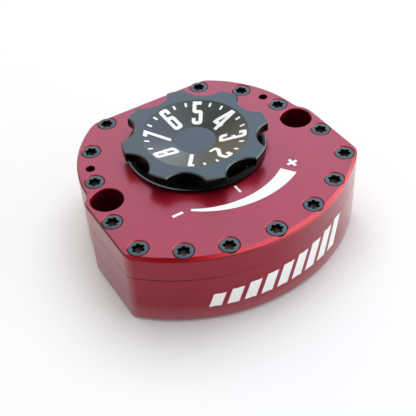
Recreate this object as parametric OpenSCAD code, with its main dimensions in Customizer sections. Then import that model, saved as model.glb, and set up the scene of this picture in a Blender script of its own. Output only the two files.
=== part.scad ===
// Motorcycle steering damper: a rotary vane damper with a clicking rate knob on top.
// The shaft axis is the Z axis, the base face is z = 0 and the long curved front faces -Y.
// All sizes are in millimetres and all angles in degrees.

/* [Housing] */
// Height of the lower housing
body_h = 21; // [20:0.5:26]
// Thickness of the cover
cover_t = 10; // [9.5:0.5:13]
// Radius of the long front curve
front_r = 65.2; // [60:0.2:75]
// Radius that rounds the two front corners
corner_r = 5.5; // [3:0.5:7]
// Radius of the round rear
rear_r = 44.75; // [43.5:0.05:46.5]
// Centre of the round rear, along Y
rear_cy = -2.6; // [-4:0.1:-1]
// Radius that rounds the ends of the rear flat
rear_corner_r = 5; // [2:0.5:7]
// Radius of the hollow between a mounting boss and the round rear
notch_r = 6; // [3:0.5:9]
// Bevel along the top of the front curve
front_bevel = 1; // [0.6:0.1:1.6]
// Bevel round the rest of the top edge
edge_bevel = 0.5; // [0.3:0.1:0.9]
// Rounding under the front curve
front_round = 2; // [1:0.25:4]
// Bevel round the rest of the base
base_bevel = 0.5; // [0.3:0.1:1]
// Small bevel on both sides of the cover joint
seam_bevel = 0.15; // [0.1:0.05:0.4]

/* [Mounting holes] */
// Distance between the two mounting holes
mount_spacing = 80; // [78:0.5:86]
// Place of the mounting holes along Y
mount_y = -6.8; // [-9:0.2:-5]
// Diameter of the hole for the mounting screw
mount_hole_d = 6.6; // [5.5:0.1:8.4]
// Diameter of the bore for the mounting screw's head
mount_head_d = 11.6; // [10.5:0.1:12.5]
// Metal left under the mounting screw's head
mount_floor = 9; // [6:0.5:14]
// Wall outside the head's bore, which sets the width of the housing
boss_wall = 1.8; // [1.2:0.05:3]
// Bevel at the mouth of a bore in the cover
mouth_bevel = 0.3; // [0.1:0.05:0.5]

/* [Cover screws] */
// Diameter of a cover screw
screw_d = 4; // [3:0.5:4.5]
// Length of a cover screw under its head
screw_l = 18; // [14:0.5:22]
// Diameter of the low screw head
screw_head_d = 6.6; // [6.4:0.1:7.4]
// Height of the low screw head
screw_head_h = 2.6; // [2:0.1:3.2]
// Bevel round the top of the screw head
screw_head_bevel = 0.4; // [0.2:0.1:0.6]
// Depth of the head's top under the cover's face
screw_sink = 0.15; // [0.1:0.05:1]
// Across the points of the six-lobed drive
drive_d = 3.8; // [3:0.1:4.6]
// Depth of the six-lobed drive
drive_depth = 1.5; // [1:0.1:1.8]
// Wall between the cover seal's groove and the middle front screw
screw_wall = 3.25; // [1.4:0.05:5]
// Radius of the arc that the front screws lie on
front_screw_r = 58.7; // [56:0.1:62]
// Distance from the middle front screw to the front edge
front_screw_edge = 3.65; // [3.6:0.05:4.6]
// Angle from the middle front screw to the next
front_screw_first = 16.7; // [15:0.1:18]
// Angle between the other front screws
front_screw_step = 14.6; // [13.5:0.1:15]
// Distance from a side screw to the side of the housing
side_screw_edge = 4.1; // [3.85:0.05:4.8]
// Place of the side screws along Y
side_screw_y = -17.6; // [-20:0.2:-16.4]
// Distance from the rear screws to the rear edge
rear_screw_edge = 4.8; // [3.9:0.05:5.2]
// Angle of the first rear screw from X
rear_screw_first = 9.6; // [9:0.1:11.5]
// Angle between the rear screws
rear_screw_step = 24.75; // [23:0.05:26]
// Distance from the last rear screws to the flat at the rear
rear_flat_edge = 3.1; // [2.2:0.05:4]

/* [Locating dowels] */
// Diameter of a dowel
dowel_d = 3.4; // [2.4:0.1:4]
// Length of a dowel
dowel_l = 10; // [6:0.5:12]
// How far a dowel stands up into the cover
dowel_up = 4; // [2:0.5:5]
// Angle of the dowels from X, on the rear screws' arc
dowel_angle = 20.3; // [19.5:0.1:22]

/* [Vane chamber] */
// Thickness of the chamber's floor
floor_t = 8; // [7.6:0.2:9]
// Radius of the chamber
chamber_r = 42; // [38:0.2:42.6]
// Swing of the vane to each side
swing = 50; // [30:1:52]
// Groove of the cover seal: wall between it and the chamber
seal_wall = 2; // [1.4:0.1:2.4]
// Width of the cover seal
seal_w = 2; // [1.4:0.1:2.4]
// Depth of the cover seal's groove
seal_depth = 1.6; // [1.2:0.1:2]
// Radius of the seal's bends at the far corners
seal_bend_r = 6; // [5:0.5:8]

/* [Rotor] */
// Radius of the rotor's hub
hub_r = 13; // [12.6:0.2:14]
// Thickness of the vane
vane_t = 8; // [6:0.2:9]
// Radius of the lower journal, which comes out at the base
lower_journal_r = 10; // [9.4:0.1:10.4]
// Radius of the upper journal
upper_journal_r = 9; // [8.4:0.1:9.4]
// Length of the upper journal
upper_journal_l = 3.4; // [3:0.1:3.8]
// Wall of both bushes
bush_wall = 2; // [1.5:0.1:2.2]
// Thickness of the thrust washers above and below the hub
thrust_t = 0.8; // [0.6:0.1:1.2]
// Width of the vane's seal
vane_seal_w = 2.4; // [1.6:0.1:3]
// Depth of the vane's seal
vane_seal_depth = 1.8; // [1.2:0.1:2.4]
// Radius of the circle of arm screws in the rotor's lower face
arm_circle_r = 6.5; // [6.2:0.1:7]
// Diameter of a tapped hole for an arm screw
arm_hole_d = 3.3; // [2.5:0.1:4]
// Depth of a tapped hole for an arm screw
arm_hole_depth = 7; // [5:0.5:8]
// Radius of the oil ways
oilway_r = 1.5; // [1:0.1:1.7]
// Angle of the oil ways from the vane
way_angle = 40; // [36:1:50]

/* [Shaft seal] */
// Wall of the lip seal
lip_wall = 4; // [3:0.2:4.6]
// Thickness of the lip seal
lip_t = 2.8; // [2.4:0.1:3.2]
// Depth of the retaining ring in the base
ring_sink = 0.6; // [0.4:0.1:0.8]
// Thickness of the retaining ring
ring_t = 1; // [0.8:0.1:1.1]
// Width of the retaining ring
ring_w = 1.8; // [1.4:0.1:2.2]
// How far the retaining ring sits in its groove
ring_hold = 0.6; // [0.4:0.1:0.8]
// Open angle between the retaining ring's ends
ring_gap = 34; // [28:1:50]

/* [Oil plugs] */
// Distance of an oil plug from the middle
plug_x = 19; // [17:0.5:20]
// Place of the oil plugs along Y
plug_y = -25; // [-26:0.5:-23]
// Diameter of a plug's thread
plug_d = 8; // [6:0.5:8.5]
// Diameter of a plug's head
plug_head_d = 11.5; // [10.5:0.5:13]
// Height of a plug's head
plug_head_h = 2; // [1.8:0.1:2.2]
// Depth of a plug's head under the base
plug_sink = 0.5; // [0.3:0.1:0.8]
// Across the flats of a plug's hexagon socket
plug_key = 4; // [3:0.5:5]
// Thickness of a plug's sealing washer
plug_washer_t = 1; // [0.8:0.1:1.2]

/* [Valve] */
// Radius of the needle's stem
needle_r = 2.95; // [2.7:0.05:3]
// Radius of the valve's seat
seat_r = 1.4; // [1.2:0.1:1.6]
// Height of the top of the valve's seat
seat_z = 13.6; // [13:0.1:14]
// Length of the valve's seat
seat_l = 1.8; // [1.6:0.1:2]
// Half angle of the needle's tip
tip_angle = 15; // [10:1:20]
// Radius at the end of the needle's tip
tip_r = 0.5; // [0.4:0.1:0.6]
// Depth of the tip's end under the top of the seat
tip_reach = 1.6; // [1.2:0.1:2]
// Radius of the gland's thread in the cover
gland_r = 7; // [6.4:0.1:7.4]
// Radius of the gland's flange
gland_flange_r = 8.8; // [8.2:0.1:9]
// Thickness of the gland's flange
gland_flange_t = 1.2; // [1:0.1:1.4]
// Radius of the post that the knob turns on
post_r = 5; // [4.8:0.1:5.4]
// Radius of the post's upper bore
post_bore_r = 3.6; // [3.5:0.1:3.8]
// Thickness of the needle's sealing ring
stem_ring_d = 1.4; // [1.2:0.1:1.6]
// Half thickness of the needle's driving tongue
tongue_half = 1.1; // [0.9:0.1:1.3]
// Half width of the needle's driving tongue
tongue_r = 2.1; // [1.8:0.1:2.4]
// How far the gland's thread reaches over its flange
thread_up = 0.8; // [0.6:0.1:1]
// Length of the needle's driving tongue
tongue_l = 2.8; // [2.6:0.1:3]

/* [Knob] */
// Height of the knob's top over the cover
knob_top = 7; // [6.6:0.1:8]
// Gap between the knob and the cover
knob_gap = 0.4; // [0.3:0.05:0.6]
// Radius of the knob's round flange
flange_r = 25.6; // [24.4:0.1:26]
// Thickness of the knob's round flange
flange_t = 2.4; // [2:0.1:2.8]
// Slope round the top of the flange
flange_slope = 1.3; // [0.4:0.1:1.5]
// Gap between the flange and the finger lobes over it
grip_relief = 0.6; // [0.55:0.05:0.9]
// Radius over the finger lobes
grip_r = 26.85; // [26.4:0.05:28]
// Number of finger lobes
lobe_count = 8; // [6:1:10]
// Radius of a finger hollow
hollow_r = 8.1; // [7:0.1:8.6]
// Distance from the axis to the bottom of a finger hollow
hollow_floor_r = 22.3; // [22:0.1:24]
// Angle of a finger hollow from X when the knob is at rest
knob_phase = 7; // [0:1:45]
// Bevel on the edges of the grip
grip_bevel = 0.4; // [0.2:0.05:0.5]
// Radius of the hollow dial's rim
dial_r = 19.5; // [18.6:0.1:20.5]
// Depth of the hollow dial
dial_depth = 3.6; // [3:0.1:4]
// Radius of the cap in the middle of the dial
cap_r = 7.5; // [7.2:0.1:8]
// Thickness of the cap
cap_t = 1.5; // [1.2:0.1:1.6]
// Radius of the knob's hub in the cover
knob_hub_r = 9; // [8.6:0.1:9.4]
// Depth of the knob's hub in the cover
knob_hub_l = 2.6; // [2.4:0.1:2.8]
// Thickness of the clip that holds the knob on its post
clip_t = 0.7; // [0.6:0.05:0.8]
// Width of the clip
clip_w = 1.8; // [1.4:0.1:1.9]
// Open angle between the clip's ends
clip_gap = 60; // [40:5:90]
// How far the clip sits in its groove
clip_hold = 0.45; // [0.3:0.05:0.5]

/* [Dial and clicks] */
// Numbers on the dial
dial_numbers = 8; // [6:1:8]
// Angle between two numbers
dial_step = 45; // [40:1:45]
// Clicks between two numbers
dial_clicks = 3; // [3:1:3]
// Angle of the first number when the knob is at rest
dial_first = -125; // [-135:1:-120]
// Angle of the index mark on the cover
index_angle = -90; // [-95:1:-85]
// Radius of a click ball
ball_r = 1.5; // [1.2:0.1:1.7]
// Distance of the click balls from the axis
ball_circle_r = 15; // [14.2:0.1:15.6]
// Depth of a click hollow in the knob
click_depth = 0.4; // [0.25:0.05:0.5]
// Depth of a click ball's pocket in the cover
pocket_depth = 6.2; // [5.8:0.1:7]
// Wire diameter of a click spring
wire_d = 0.4; // [0.3:0.05:0.4]
// Turns of a click spring
spring_turns = 3.5; // [3:0.5:3.5]
// Diameter of the stop pin
stop_pin_d = 3; // [2.4:0.1:3.2]
// Distance of the stop pin from the axis
stop_circle_r = 20; // [19.6:0.1:20.2]
// Angle of the stop pin
stop_angle = 90; // [60:5:120]
// Height of the stop pin over the cover
stop_up = 2; // [1.6:0.1:2.2]
// Depth of the stop pin in the cover
stop_down = 5; // [4:0.5:6]

/* [Clearances] */
// Gap all round a shaft in its bush
run_gap = 0.05; // [0.02:0.01:0.08]
// Gap all round a piece that doesn't move in its seat
seat_gap = 0.02; // [0.01:0.01:0.04]
// Gap between faces that pass each other
pass_gap = 0.2; // [0.15:0.05:0.3]
// Gap round a screw in its through hole
hole_gap = 0.2; // [0.1:0.05:0.3]
// Gap round a screw's head in its bore
head_gap = 0.2; // [0.2:0.05:0.4]

/* [Hidden] */
$fn = 96;

// Colours of the finishes
red_anodise = "#a8182f";
black_anodise = "#4a5158";
black_oxide = "#59646d";
steel = "#b4b8bc";
bronze = "#a9824a";
brass = "#c8a44c";
black_rubber = "#1e1e20";

// Overlap that takes a cut clear through a face
over = 1;
// Steps of the rounding under the front curve
round_steps = 6;

// Outline of the housing
mount_x = mount_spacing / 2;
boss_r = mount_head_d / 2 + boss_wall;
half_w = mount_x + boss_r;
seal_outer_r = chamber_r + seal_wall + seal_w;
front_reach = seal_outer_r + screw_wall + screw_d / 2 + front_screw_edge;
front_cy = front_r - front_reach;
rear_screw_r = rear_r - rear_screw_edge;
rear_screw_last = rear_screw_first + 2 * rear_screw_step;
rear_reach = rear_cy + rear_screw_r * sin(rear_screw_last) + rear_flat_edge;
top_z = body_h + cover_t;

// Centre of a front corner, which touches the side and the front curve
corner_x = half_w - corner_r;
corner_y = front_cy - sqrt((front_r - corner_r) ^ 2 - corner_x ^ 2);
corner_angle = atan2(corner_y - front_cy, corner_x);

// Centre of a rear corner, which touches the rear flat and the round rear
rear_corner_y = rear_reach - rear_corner_r;
rear_corner_x = sqrt((rear_r - rear_corner_r) ^ 2 - (rear_corner_y - rear_cy) ^ 2);
rear_corner_angle = atan2(rear_corner_y - rear_cy, rear_corner_x);

// Centre of the hollow beside a boss, which touches the boss and the round rear
notch_reach = rear_r + notch_r;
boss_dist = norm([mount_x, mount_y - rear_cy]);
notch_turn = acos((notch_reach ^ 2 + boss_dist ^ 2 - (boss_r + notch_r) ^ 2) / (2 * notch_reach * boss_dist));
notch_angle = atan2(mount_y - rear_cy, mount_x) + notch_turn;
notch_c = [notch_reach * cos(notch_angle), rear_cy + notch_reach * sin(notch_angle)];

// Places of the cover screws and the dowels
front_screw_cy = front_screw_r - front_reach + front_screw_edge;
front_sites = [
    for (side = [-1, 1], n = [0:2])
        let (a = front_screw_first + n * front_screw_step)
            [side * front_screw_r * sin(a), front_screw_cy - front_screw_r * cos(a)]
];
side_sites = [for (side = [-1, 1]) [side * (half_w - side_screw_edge), side_screw_y]];
rear_sites = [
    for (side = [-1, 1], n = [0:2])
        let (a = rear_screw_first + n * rear_screw_step)
            [side * rear_screw_r * cos(a), rear_cy + rear_screw_r * sin(a)]
];
screw_sites = concat([[0, front_screw_cy - front_screw_r]], front_sites, side_sites, rear_sites);
dowel_sites = [
    for (side = [-1, 1])
        [side * rear_screw_r * cos(dowel_angle), rear_cy + rear_screw_r * sin(dowel_angle)]
];
screw_seat_z = top_z - screw_sink - screw_head_h;
head_bore_r = screw_head_d / 2 + head_gap;
drive_lobe_r = drive_d / 7;
drive_core_r = drive_d * 0.37;

// Chamber, rotor and their seals
slot_half = vane_t / 2 + pass_gap;
pocket_r = hub_r + pass_gap;
upper_bush_r = upper_journal_r + run_gap + bush_wall;
lower_bush_r = lower_journal_r + run_gap + bush_wall;
upper_pocket_top = body_h + upper_journal_l + pass_gap;
hub_z = floor_t + thrust_t + run_gap;
hub_top = body_h - thrust_t - run_gap;
vane_tip_r = chamber_r - pass_gap;
needle_bore_r = needle_r + pass_gap;
loop_r = seal_outer_r - seal_w / 2;
loop_half = swing + asin(slot_half / chamber_r);
loop_rear_r = pocket_r + seal_wall + seal_w / 2;
loop_bend_reach = loop_r - seal_bend_r;
loop_tangent = -90 + loop_half + acos((loop_rear_r - seal_bend_r) / loop_bend_reach);

// Stack of the shaft seal in the base
lip_r = lower_journal_r + lip_wall;
lip_z = ring_sink + ring_t + seat_gap;
lower_bush_z = lip_z + lip_t + seat_gap;
ring_outer_r = lip_r + ring_hold;
ring_eye_r = ring_w * 0.8;
case_t = lip_wall * 0.3;
web_t = lip_t * 0.3;

// Stack of the knob, its post and the valve
gland_seat_z = top_z - knob_hub_l - run_gap - gland_flange_t;
gland_top_of_flange = gland_seat_z + gland_flange_t;
knob_under_z = top_z + knob_gap;
flange_top_z = knob_under_z + flange_t;
grip_under_z = flange_top_z + grip_relief;
knob_top_z = top_z + knob_top;
dial_floor_z = knob_top_z - dial_depth;
cap_under_z = dial_floor_z - cap_t;
clip_z = knob_under_z + run_gap;
post_top_z = clip_z + clip_t + clip_hold;
tapped_top_z = gland_top_of_flange + thread_up;
tongue_z = tapped_top_z + pass_gap;
stem_ring_z = upper_pocket_top + stem_ring_d / 2 + seat_gap;
stem_ring_groove_r = needle_r + stem_ring_d + seat_gap;

// Turn of the knob to its first and last number, from rest
turn_to_first = index_angle - dial_first;
dial_span = (dial_numbers - 1) * dial_step;
click_step = dial_step / dial_clicks;
click_count = floor(360 / click_step);
hollow_circle_r = hollow_floor_r + hollow_r;
ball_z = knob_under_z - run_gap - ball_r;
pocket_floor_z = top_z - pocket_depth;
stop_slot_half = stop_pin_d / 2 + pass_gap;

// Click spring, wound between the pocket's floor and the ball
spring_r = ball_r - wire_d;
spring_z0 = pocket_floor_z + wire_d / 2 + run_gap;
spring_z1 = ball_z - sqrt(ball_r ^ 2 - spring_r ^ 2) - wire_d / 2 - pass_gap;
spring_pitch = (spring_z1 - spring_z0) / spring_turns;
rings_per_turn = 8;
wire_sides = 6;
spring_rings = ceil(spring_turns * rings_per_turn) + 1;
echo(spring_gap = spring_pitch - wire_d);

// Shapes that several pieces share

module both_sides() {
    children();
    mirror([1, 0, 0]) children();
}

module at_sites(sites, z) {
    for (p = sites) translate([p.x, p.y, z]) children();
}

// Base edge of a profile that ends at x = r: a bevel in one step, a rounding in more
function base_edge(r, c, steps) =
    [for (n = [0:steps]) let (a = 90 * n / steps) [r - c * (1 - sin(a)), c * (1 - cos(a))]];

// Disc with a bevel at its top and a bevel or a rounding at its base
module bevelled_disc(r, h, top_c, base_c, steps = 1) {
    rotate_extrude()
        polygon(concat([[0, 0]], base_edge(r, base_c, steps), [[r, h - top_c], [r - top_c, h], [0, h]]));
}

// Round cutter that leaves a bevelled edge at its top and at its base
module flared_cutter(r, h, top_c, base_c) {
    rotate_extrude()
        polygon([[0, -over], [r + base_c + over, -over], [r + base_c, 0], [r, base_c], [r, h - top_c],
            [r + top_c, h], [r + top_c + over, h + over], [0, h + over]]);
}

module tube(outer_r, inner_r, h) {
    difference() {
        cylinder(r = outer_r, h = h);
        translate([0, 0, -over]) cylinder(r = inner_r, h = h + 2 * over);
    }
}

// Part of a ring of rectangular section
module ring_part(r0, r1, h, a0, a1) {
    rotate(a0) rotate_extrude(angle = a1 - a0) translate([r0, 0]) square([r1 - r0, h]);
}

// What lies outside a rounded corner, between two angles
module corner_waste(c, r, a0, a1, h, top_c, base_c) {
    reach = 3 * r;
    mid = (a0 + a1) / 2;
    far = reach / cos((a1 - a0) / 2);
    translate([c.x, c.y, 0]) difference() {
        translate([0, 0, -over]) linear_extrude(h + 2 * over)
            polygon([[0, 0], reach * [cos(a0), sin(a0)], far * [cos(mid), sin(mid)],
                reach * [cos(a1), sin(a1)]]);
        bevelled_disc(r, h, top_c, base_c);
    }
}

// Slab between the two side faces
module side_slab(y0, y1, h, top_c, base_c) {
    translate([0, y1, 0]) rotate([90, 0, 0]) linear_extrude(y1 - y0)
        polygon([[base_c - half_w, 0], [half_w - base_c, 0], [half_w, base_c], [half_w, h - top_c],
            [half_w - top_c, h], [top_c - half_w, h], [-half_w, h - top_c], [-half_w, base_c]]);
}

// Slab in front of the rear flat
module rear_slab(h, top_c, base_c) {
    y0 = rear_cy - rear_r - over;
    x = rear_r + over;
    translate([-x, 0, 0]) rotate([90, 0, 90]) linear_extrude(2 * x)
        polygon([[y0, 0], [rear_reach - base_c, 0], [rear_reach, base_c], [rear_reach, h - top_c],
            [rear_reach - top_c, h], [y0, h]]);
}

// Web that the hollow beside a boss is cut from
module notch_web(h, top_c, base_c) {
    difference() {
        linear_extrude(h) polygon([[mount_x, mount_y], notch_c, [0, rear_cy]]);
        translate([notch_c.x, notch_c.y, 0]) flared_cutter(notch_r, h, top_c, base_c);
    }
}

// Full outline of the housing, h high, with a base edge under the front curve of its own
module housing_block(h, front_c, edge_c, base_c, front_base, front_steps) {
    difference() {
        union() {
            intersection() {
                translate([0, front_cy, 0]) bevelled_disc(front_r, h, front_c, front_base, front_steps);
                side_slab(-front_reach - over, mount_y, h, edge_c, base_c);
            }
            intersection() {
                translate([0, rear_cy, 0]) bevelled_disc(rear_r, h, edge_c, base_c);
                rear_slab(h, edge_c, base_c);
            }
            both_sides() translate([mount_x, mount_y, 0]) bevelled_disc(boss_r, h, edge_c, base_c);
            both_sides() notch_web(h, edge_c, base_c);
        }
        both_sides() corner_waste([corner_x, corner_y], corner_r, corner_angle, 0, h, edge_c, base_c);
        both_sides() corner_waste([rear_corner_x, rear_corner_y], rear_corner_r, rear_corner_angle, 90,
            h, edge_c, base_c);
    }
}

// Space that the vane sweeps, seen from above
module chamber_plan() {
    reach = chamber_r / cos(swing / 2) + over;
    circle(pocket_r);
    intersection() {
        circle(chamber_r);
        union() {
            polygon([[0, 0], reach * [-sin(swing), -cos(swing)], [0, -reach],
                reach * [sin(swing), -cos(swing)]]);
            for (side = [-1, 1])
                rotate(side * swing) translate([-slot_half, -chamber_r - over])
                    square([2 * slot_half, chamber_r + over]);
        }
    }
}

// Area inside the seal's line, grown by an offset: front arc, two bends and an arc behind the hub
module seal_area(grow) {
    bend_angle = -90 + loop_half;
    bend_c = loop_bend_reach * [cos(bend_angle), sin(bend_angle)];
    side_n = [cos(loop_tangent), sin(loop_tangent)];
    front = loop_r + grow;
    reach = front / cos(loop_half / 2) + over;
    circle(loop_rear_r + grow);
    intersection() {
        circle(front);
        polygon([[0, 0], reach * [-cos(bend_angle), sin(bend_angle)], [0, -reach],
            reach * [cos(bend_angle), sin(bend_angle)]]);
    }
    both_sides() {
        translate(bend_c) circle(seal_bend_r + grow);
        polygon([[0, 0], bend_c, bend_c + (seal_bend_r + grow) * side_n, (loop_rear_r + grow) * side_n]);
    }
}

// Closed loop of rectangular section round the chamber
module seal_loop(w, h) {
    difference() {
        linear_extrude(h) seal_area(w / 2);
        translate([0, 0, -over]) linear_extrude(h + 2 * over) seal_area(-w / 2);
    }
}

// Six-lobed drive recess, seen from above
module drive_plan() {
    circle(drive_core_r);
    for (n = [0:5]) rotate(60 * n) translate([drive_d / 2 - drive_lobe_r, 0]) circle(drive_lobe_r);
}

// Strip that runs over the vane's top, tip and base edges
module vane_strip(gap) {
    half = vane_seal_w / 2 + gap;
    z0 = floor_t + run_gap;
    z1 = body_h - run_gap;
    r1 = chamber_r - run_gap;
    inner = chamber_r - pass_gap - vane_seal_depth - gap;
    difference() {
        intersection() {
            translate([0, 0, z0]) cylinder(r = r1, h = z1 - z0);
            translate([-half, -chamber_r, 0]) cube([2 * half, chamber_r - pocket_r, body_h]);
        }
        translate([-half - over, -inner, z0 + vane_seal_depth + gap])
            cube([2 * (half + over), inner, z1 - z0 - 2 * (vane_seal_depth + gap)]);
    }
}

// Housing

module main_body() {
    plug_seat_z = plug_sink + plug_head_h + plug_washer_t;
    color(red_anodise) difference() {
        housing_block(body_h, seam_bevel, seam_bevel, base_bevel, front_round, round_steps);
        translate([0, 0, floor_t]) linear_extrude(body_h) chamber_plan();
        translate([0, 0, body_h - seal_depth]) seal_loop(seal_w, seal_depth + over);
        translate([0, 0, -over]) cylinder(r = lip_r + seat_gap, h = lower_bush_z + over);
        cylinder(r = lower_bush_r + seat_gap, h = floor_t + over);
        translate([0, 0, ring_sink - seat_gap])
            cylinder(r = ring_outer_r + seat_gap, h = ring_t + 2 * seat_gap);
        at_sites(screw_sites, screw_seat_z - screw_l - over) cylinder(d = screw_d + 2 * seat_gap, h = body_h);
        at_sites(dowel_sites, body_h + dowel_up - dowel_l) cylinder(d = dowel_d + 2 * seat_gap, h = dowel_l);
        both_sides() translate([mount_x, mount_y, 0]) {
            translate([0, 0, -over]) cylinder(d = mount_hole_d, h = body_h);
            translate([0, 0, mount_floor]) cylinder(d = mount_head_d, h = body_h);
        }
        both_sides() translate([plug_x, plug_y, -over]) {
            cylinder(d = plug_head_d + 2 * hole_gap, h = plug_seat_z + over);
            cylinder(d = plug_d + 2 * seat_gap, h = floor_t + 2 * over);
        }
    }
}

module top_cover() {
    color(red_anodise) difference() {
        translate([0, 0, body_h])
            housing_block(cover_t, front_bevel, edge_bevel, seam_bevel, seam_bevel, 1);
        at_sites(screw_sites, body_h - over) cylinder(d = screw_d + 2 * hole_gap, h = cover_t);
        at_sites(screw_sites, screw_seat_z) cylinder(r = head_bore_r, h = cover_t);
        at_sites(screw_sites, top_z - mouth_bevel)
            cylinder(r1 = head_bore_r, r2 = head_bore_r + mouth_bevel, h = mouth_bevel);
        at_sites(dowel_sites, body_h - over) cylinder(d = dowel_d + 2 * seat_gap, h = cover_t + 2 * over);
        both_sides() translate([mount_x, mount_y, body_h]) {
            translate([0, 0, -over]) cylinder(d = mount_head_d, h = cover_t + 2 * over);
            translate([0, 0, cover_t - mouth_bevel])
                cylinder(d1 = mount_head_d, d2 = mount_head_d + 2 * mouth_bevel, h = mouth_bevel);
        }
        translate([0, 0, body_h - over])
            cylinder(r = upper_bush_r + seat_gap, h = upper_pocket_top - body_h + over);
        translate([0, 0, body_h]) cylinder(r = gland_r + seat_gap, h = cover_t);
        translate([0, 0, gland_seat_z]) cylinder(r = knob_hub_r + pass_gap, h = cover_t);
        for (side = [0, 180])
            rotate(side) translate([ball_circle_r, 0, pocket_floor_z])
                cylinder(r = ball_r + run_gap, h = cover_t);
        rotate(stop_angle) translate([stop_circle_r, 0, top_z - stop_down])
            cylinder(d = stop_pin_d + 2 * seat_gap, h = cover_t);
    }
}

module cover_screws() {
    color(black_oxide) at_sites(screw_sites, screw_seat_z) difference() {
        union() {
            bevelled_disc(screw_head_d / 2, screw_head_h, screw_head_bevel, 0);
            translate([0, 0, -screw_l]) cylinder(d = screw_d, h = screw_l);
        }
        translate([0, 0, screw_head_h - drive_depth]) linear_extrude(screw_head_h) drive_plan();
    }
}

module cover_seal() {
    color(black_rubber) translate([0, 0, body_h - seal_depth + seat_gap])
        seal_loop(seal_w - 2 * seat_gap, seal_depth - 2 * seat_gap);
}

module locating_dowels() {
    color(steel) at_sites(dowel_sites, body_h + dowel_up - dowel_l)
        bevelled_disc(dowel_d / 2, dowel_l, edge_bevel, edge_bevel);
}

module upper_bush() {
    color(bronze) translate([0, 0, body_h + seat_gap])
        tube(upper_bush_r, upper_journal_r + run_gap, upper_pocket_top - body_h - 2 * seat_gap);
}

module lower_bush() {
    color(bronze) translate([0, 0, lower_bush_z + seat_gap])
        tube(lower_bush_r, lower_journal_r + run_gap, floor_t - lower_bush_z - 2 * seat_gap);
}

module upper_thrust_washer() {
    color(bronze) translate([0, 0, body_h - thrust_t])
        tube(hub_r, upper_journal_r + pass_gap, thrust_t - seat_gap);
}

module lower_thrust_washer() {
    color(bronze) translate([0, 0, floor_t + seat_gap])
        tube(hub_r, lower_journal_r + pass_gap, thrust_t - seat_gap);
}

// Lip seal: an outer case and a lip that leans on the lower journal
module shaft_seal() {
    lip_in = lower_journal_r + run_gap;
    color(black_rubber) translate([0, 0, lip_z]) rotate_extrude()
        polygon([[lip_r, 0], [lip_r, lip_t], [lip_r - case_t, lip_t], [lip_r - case_t, web_t],
            [lip_in + case_t, web_t], [lip_in + case_t, lip_t], [lip_in, lip_t - web_t],
            [lip_in + web_t, 0]]);
}

// Open ring with an eye at each end
module seal_retaining_ring() {
    eye_c = ring_outer_r - ring_hold - ring_eye_r;
    color(steel) translate([0, 0, ring_sink]) difference() {
        union() {
            ring_part(ring_outer_r - ring_w, ring_outer_r, ring_t, ring_gap / 2 - 90, 270 - ring_gap / 2);
            for (side = [-1, 1])
                rotate(-90 + side * ring_gap / 2) translate([eye_c, 0, 0])
                    cylinder(r = ring_eye_r, h = ring_t);
        }
        for (side = [-1, 1])
            rotate(-90 + side * ring_gap / 2) translate([eye_c, 0, -over])
                cylinder(r = ring_eye_r / 2, h = ring_t + 2 * over);
    }
}

module oil_plugs() {
    shoulder_z = plug_sink + plug_head_h;
    color(steel) both_sides() translate([plug_x, plug_y, 0]) difference() {
        union() {
            translate([0, 0, plug_sink]) bevelled_disc(plug_head_d / 2, plug_head_h, 0, edge_bevel);
            translate([0, 0, shoulder_z]) cylinder(d = plug_d, h = floor_t - shoulder_z);
        }
        cylinder(d = plug_key / cos(30), h = plug_sink + plug_head_h, $fn = 6);
    }
}

module oil_plug_washers() {
    color(brass) both_sides() translate([plug_x, plug_y, plug_sink + plug_head_h])
        tube(plug_head_d / 2, plug_d / 2 + seat_gap, plug_washer_t);
}

// Valve

// Threaded gland in the cover, with the post that the knob turns on
module valve_gland() {
    groove_r = post_r - clip_hold;
    color(brass) difference() {
        union() {
            translate([0, 0, upper_pocket_top]) cylinder(r = gland_r, h = gland_seat_z - upper_pocket_top);
            translate([0, 0, gland_seat_z]) cylinder(r = gland_flange_r, h = gland_flange_t);
            translate([0, 0, gland_top_of_flange]) cylinder(r = post_r, h = post_top_z - gland_top_of_flange);
        }
        translate([0, 0, body_h]) cylinder(r = needle_r + run_gap, h = cover_t);
        translate([0, 0, body_h])
            cylinder(r = stem_ring_groove_r, h = stem_ring_z + stem_ring_d / 2 + seat_gap - body_h);
        translate([0, 0, tapped_top_z]) cylinder(r = post_bore_r, h = cover_t);
        translate([0, 0, clip_z - seat_gap]) tube(post_r + over, groove_r, clip_t + 2 * seat_gap);
    }
}

module stem_seal() {
    ring_r = stem_ring_d / 2;
    color(black_rubber) translate([0, 0, stem_ring_z]) rotate_extrude()
        translate([needle_r + run_gap + ring_r - seat_gap, 0]) circle(r = ring_r - seat_gap, $fn = 32);
}

// Open clip in the groove of the post
module knob_clip() {
    inner = post_r - clip_hold + seat_gap;
    color(steel) translate([0, 0, clip_z]) ring_part(inner, inner + clip_w, clip_t, clip_gap, 360);
}

module click_balls() {
    color(steel) for (side = [0, 180]) rotate(side) translate([ball_circle_r, 0, ball_z]) sphere(r = ball_r);
}

function spring_point(ring, side) =
    let (turn = 360 * ring / rings_per_turn, a = 360 * side / wire_sides)
        let (r = spring_r + wire_d / 2 * cos(a))
            [r * cos(turn), r * sin(turn), spring_z0 + spring_pitch * turn / 360 + wire_d / 2 * sin(a)];

// One spring as a wire of wire_sides faces wound round Z
module click_spring() {
    last = (spring_rings - 1) * wire_sides;
    points = [for (ring = [0:spring_rings - 1], side = [0:wire_sides - 1]) spring_point(ring, side)];
    skin = [
        for (ring = [0:spring_rings - 2], side = [0:wire_sides - 1])
            let (a = ring * wire_sides + side, b = ring * wire_sides + (side + 1) % wire_sides)
                each [[a, b, b + wire_sides], [a, b + wire_sides, a + wire_sides]]
    ];
    near_end = [for (side = [1:wire_sides - 2]) [0, side + 1, side]];
    far_end = [for (side = [1:wire_sides - 2]) [last, last + side, last + side + 1]];
    polyhedron(points, concat(skin, near_end, far_end));
}

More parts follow.
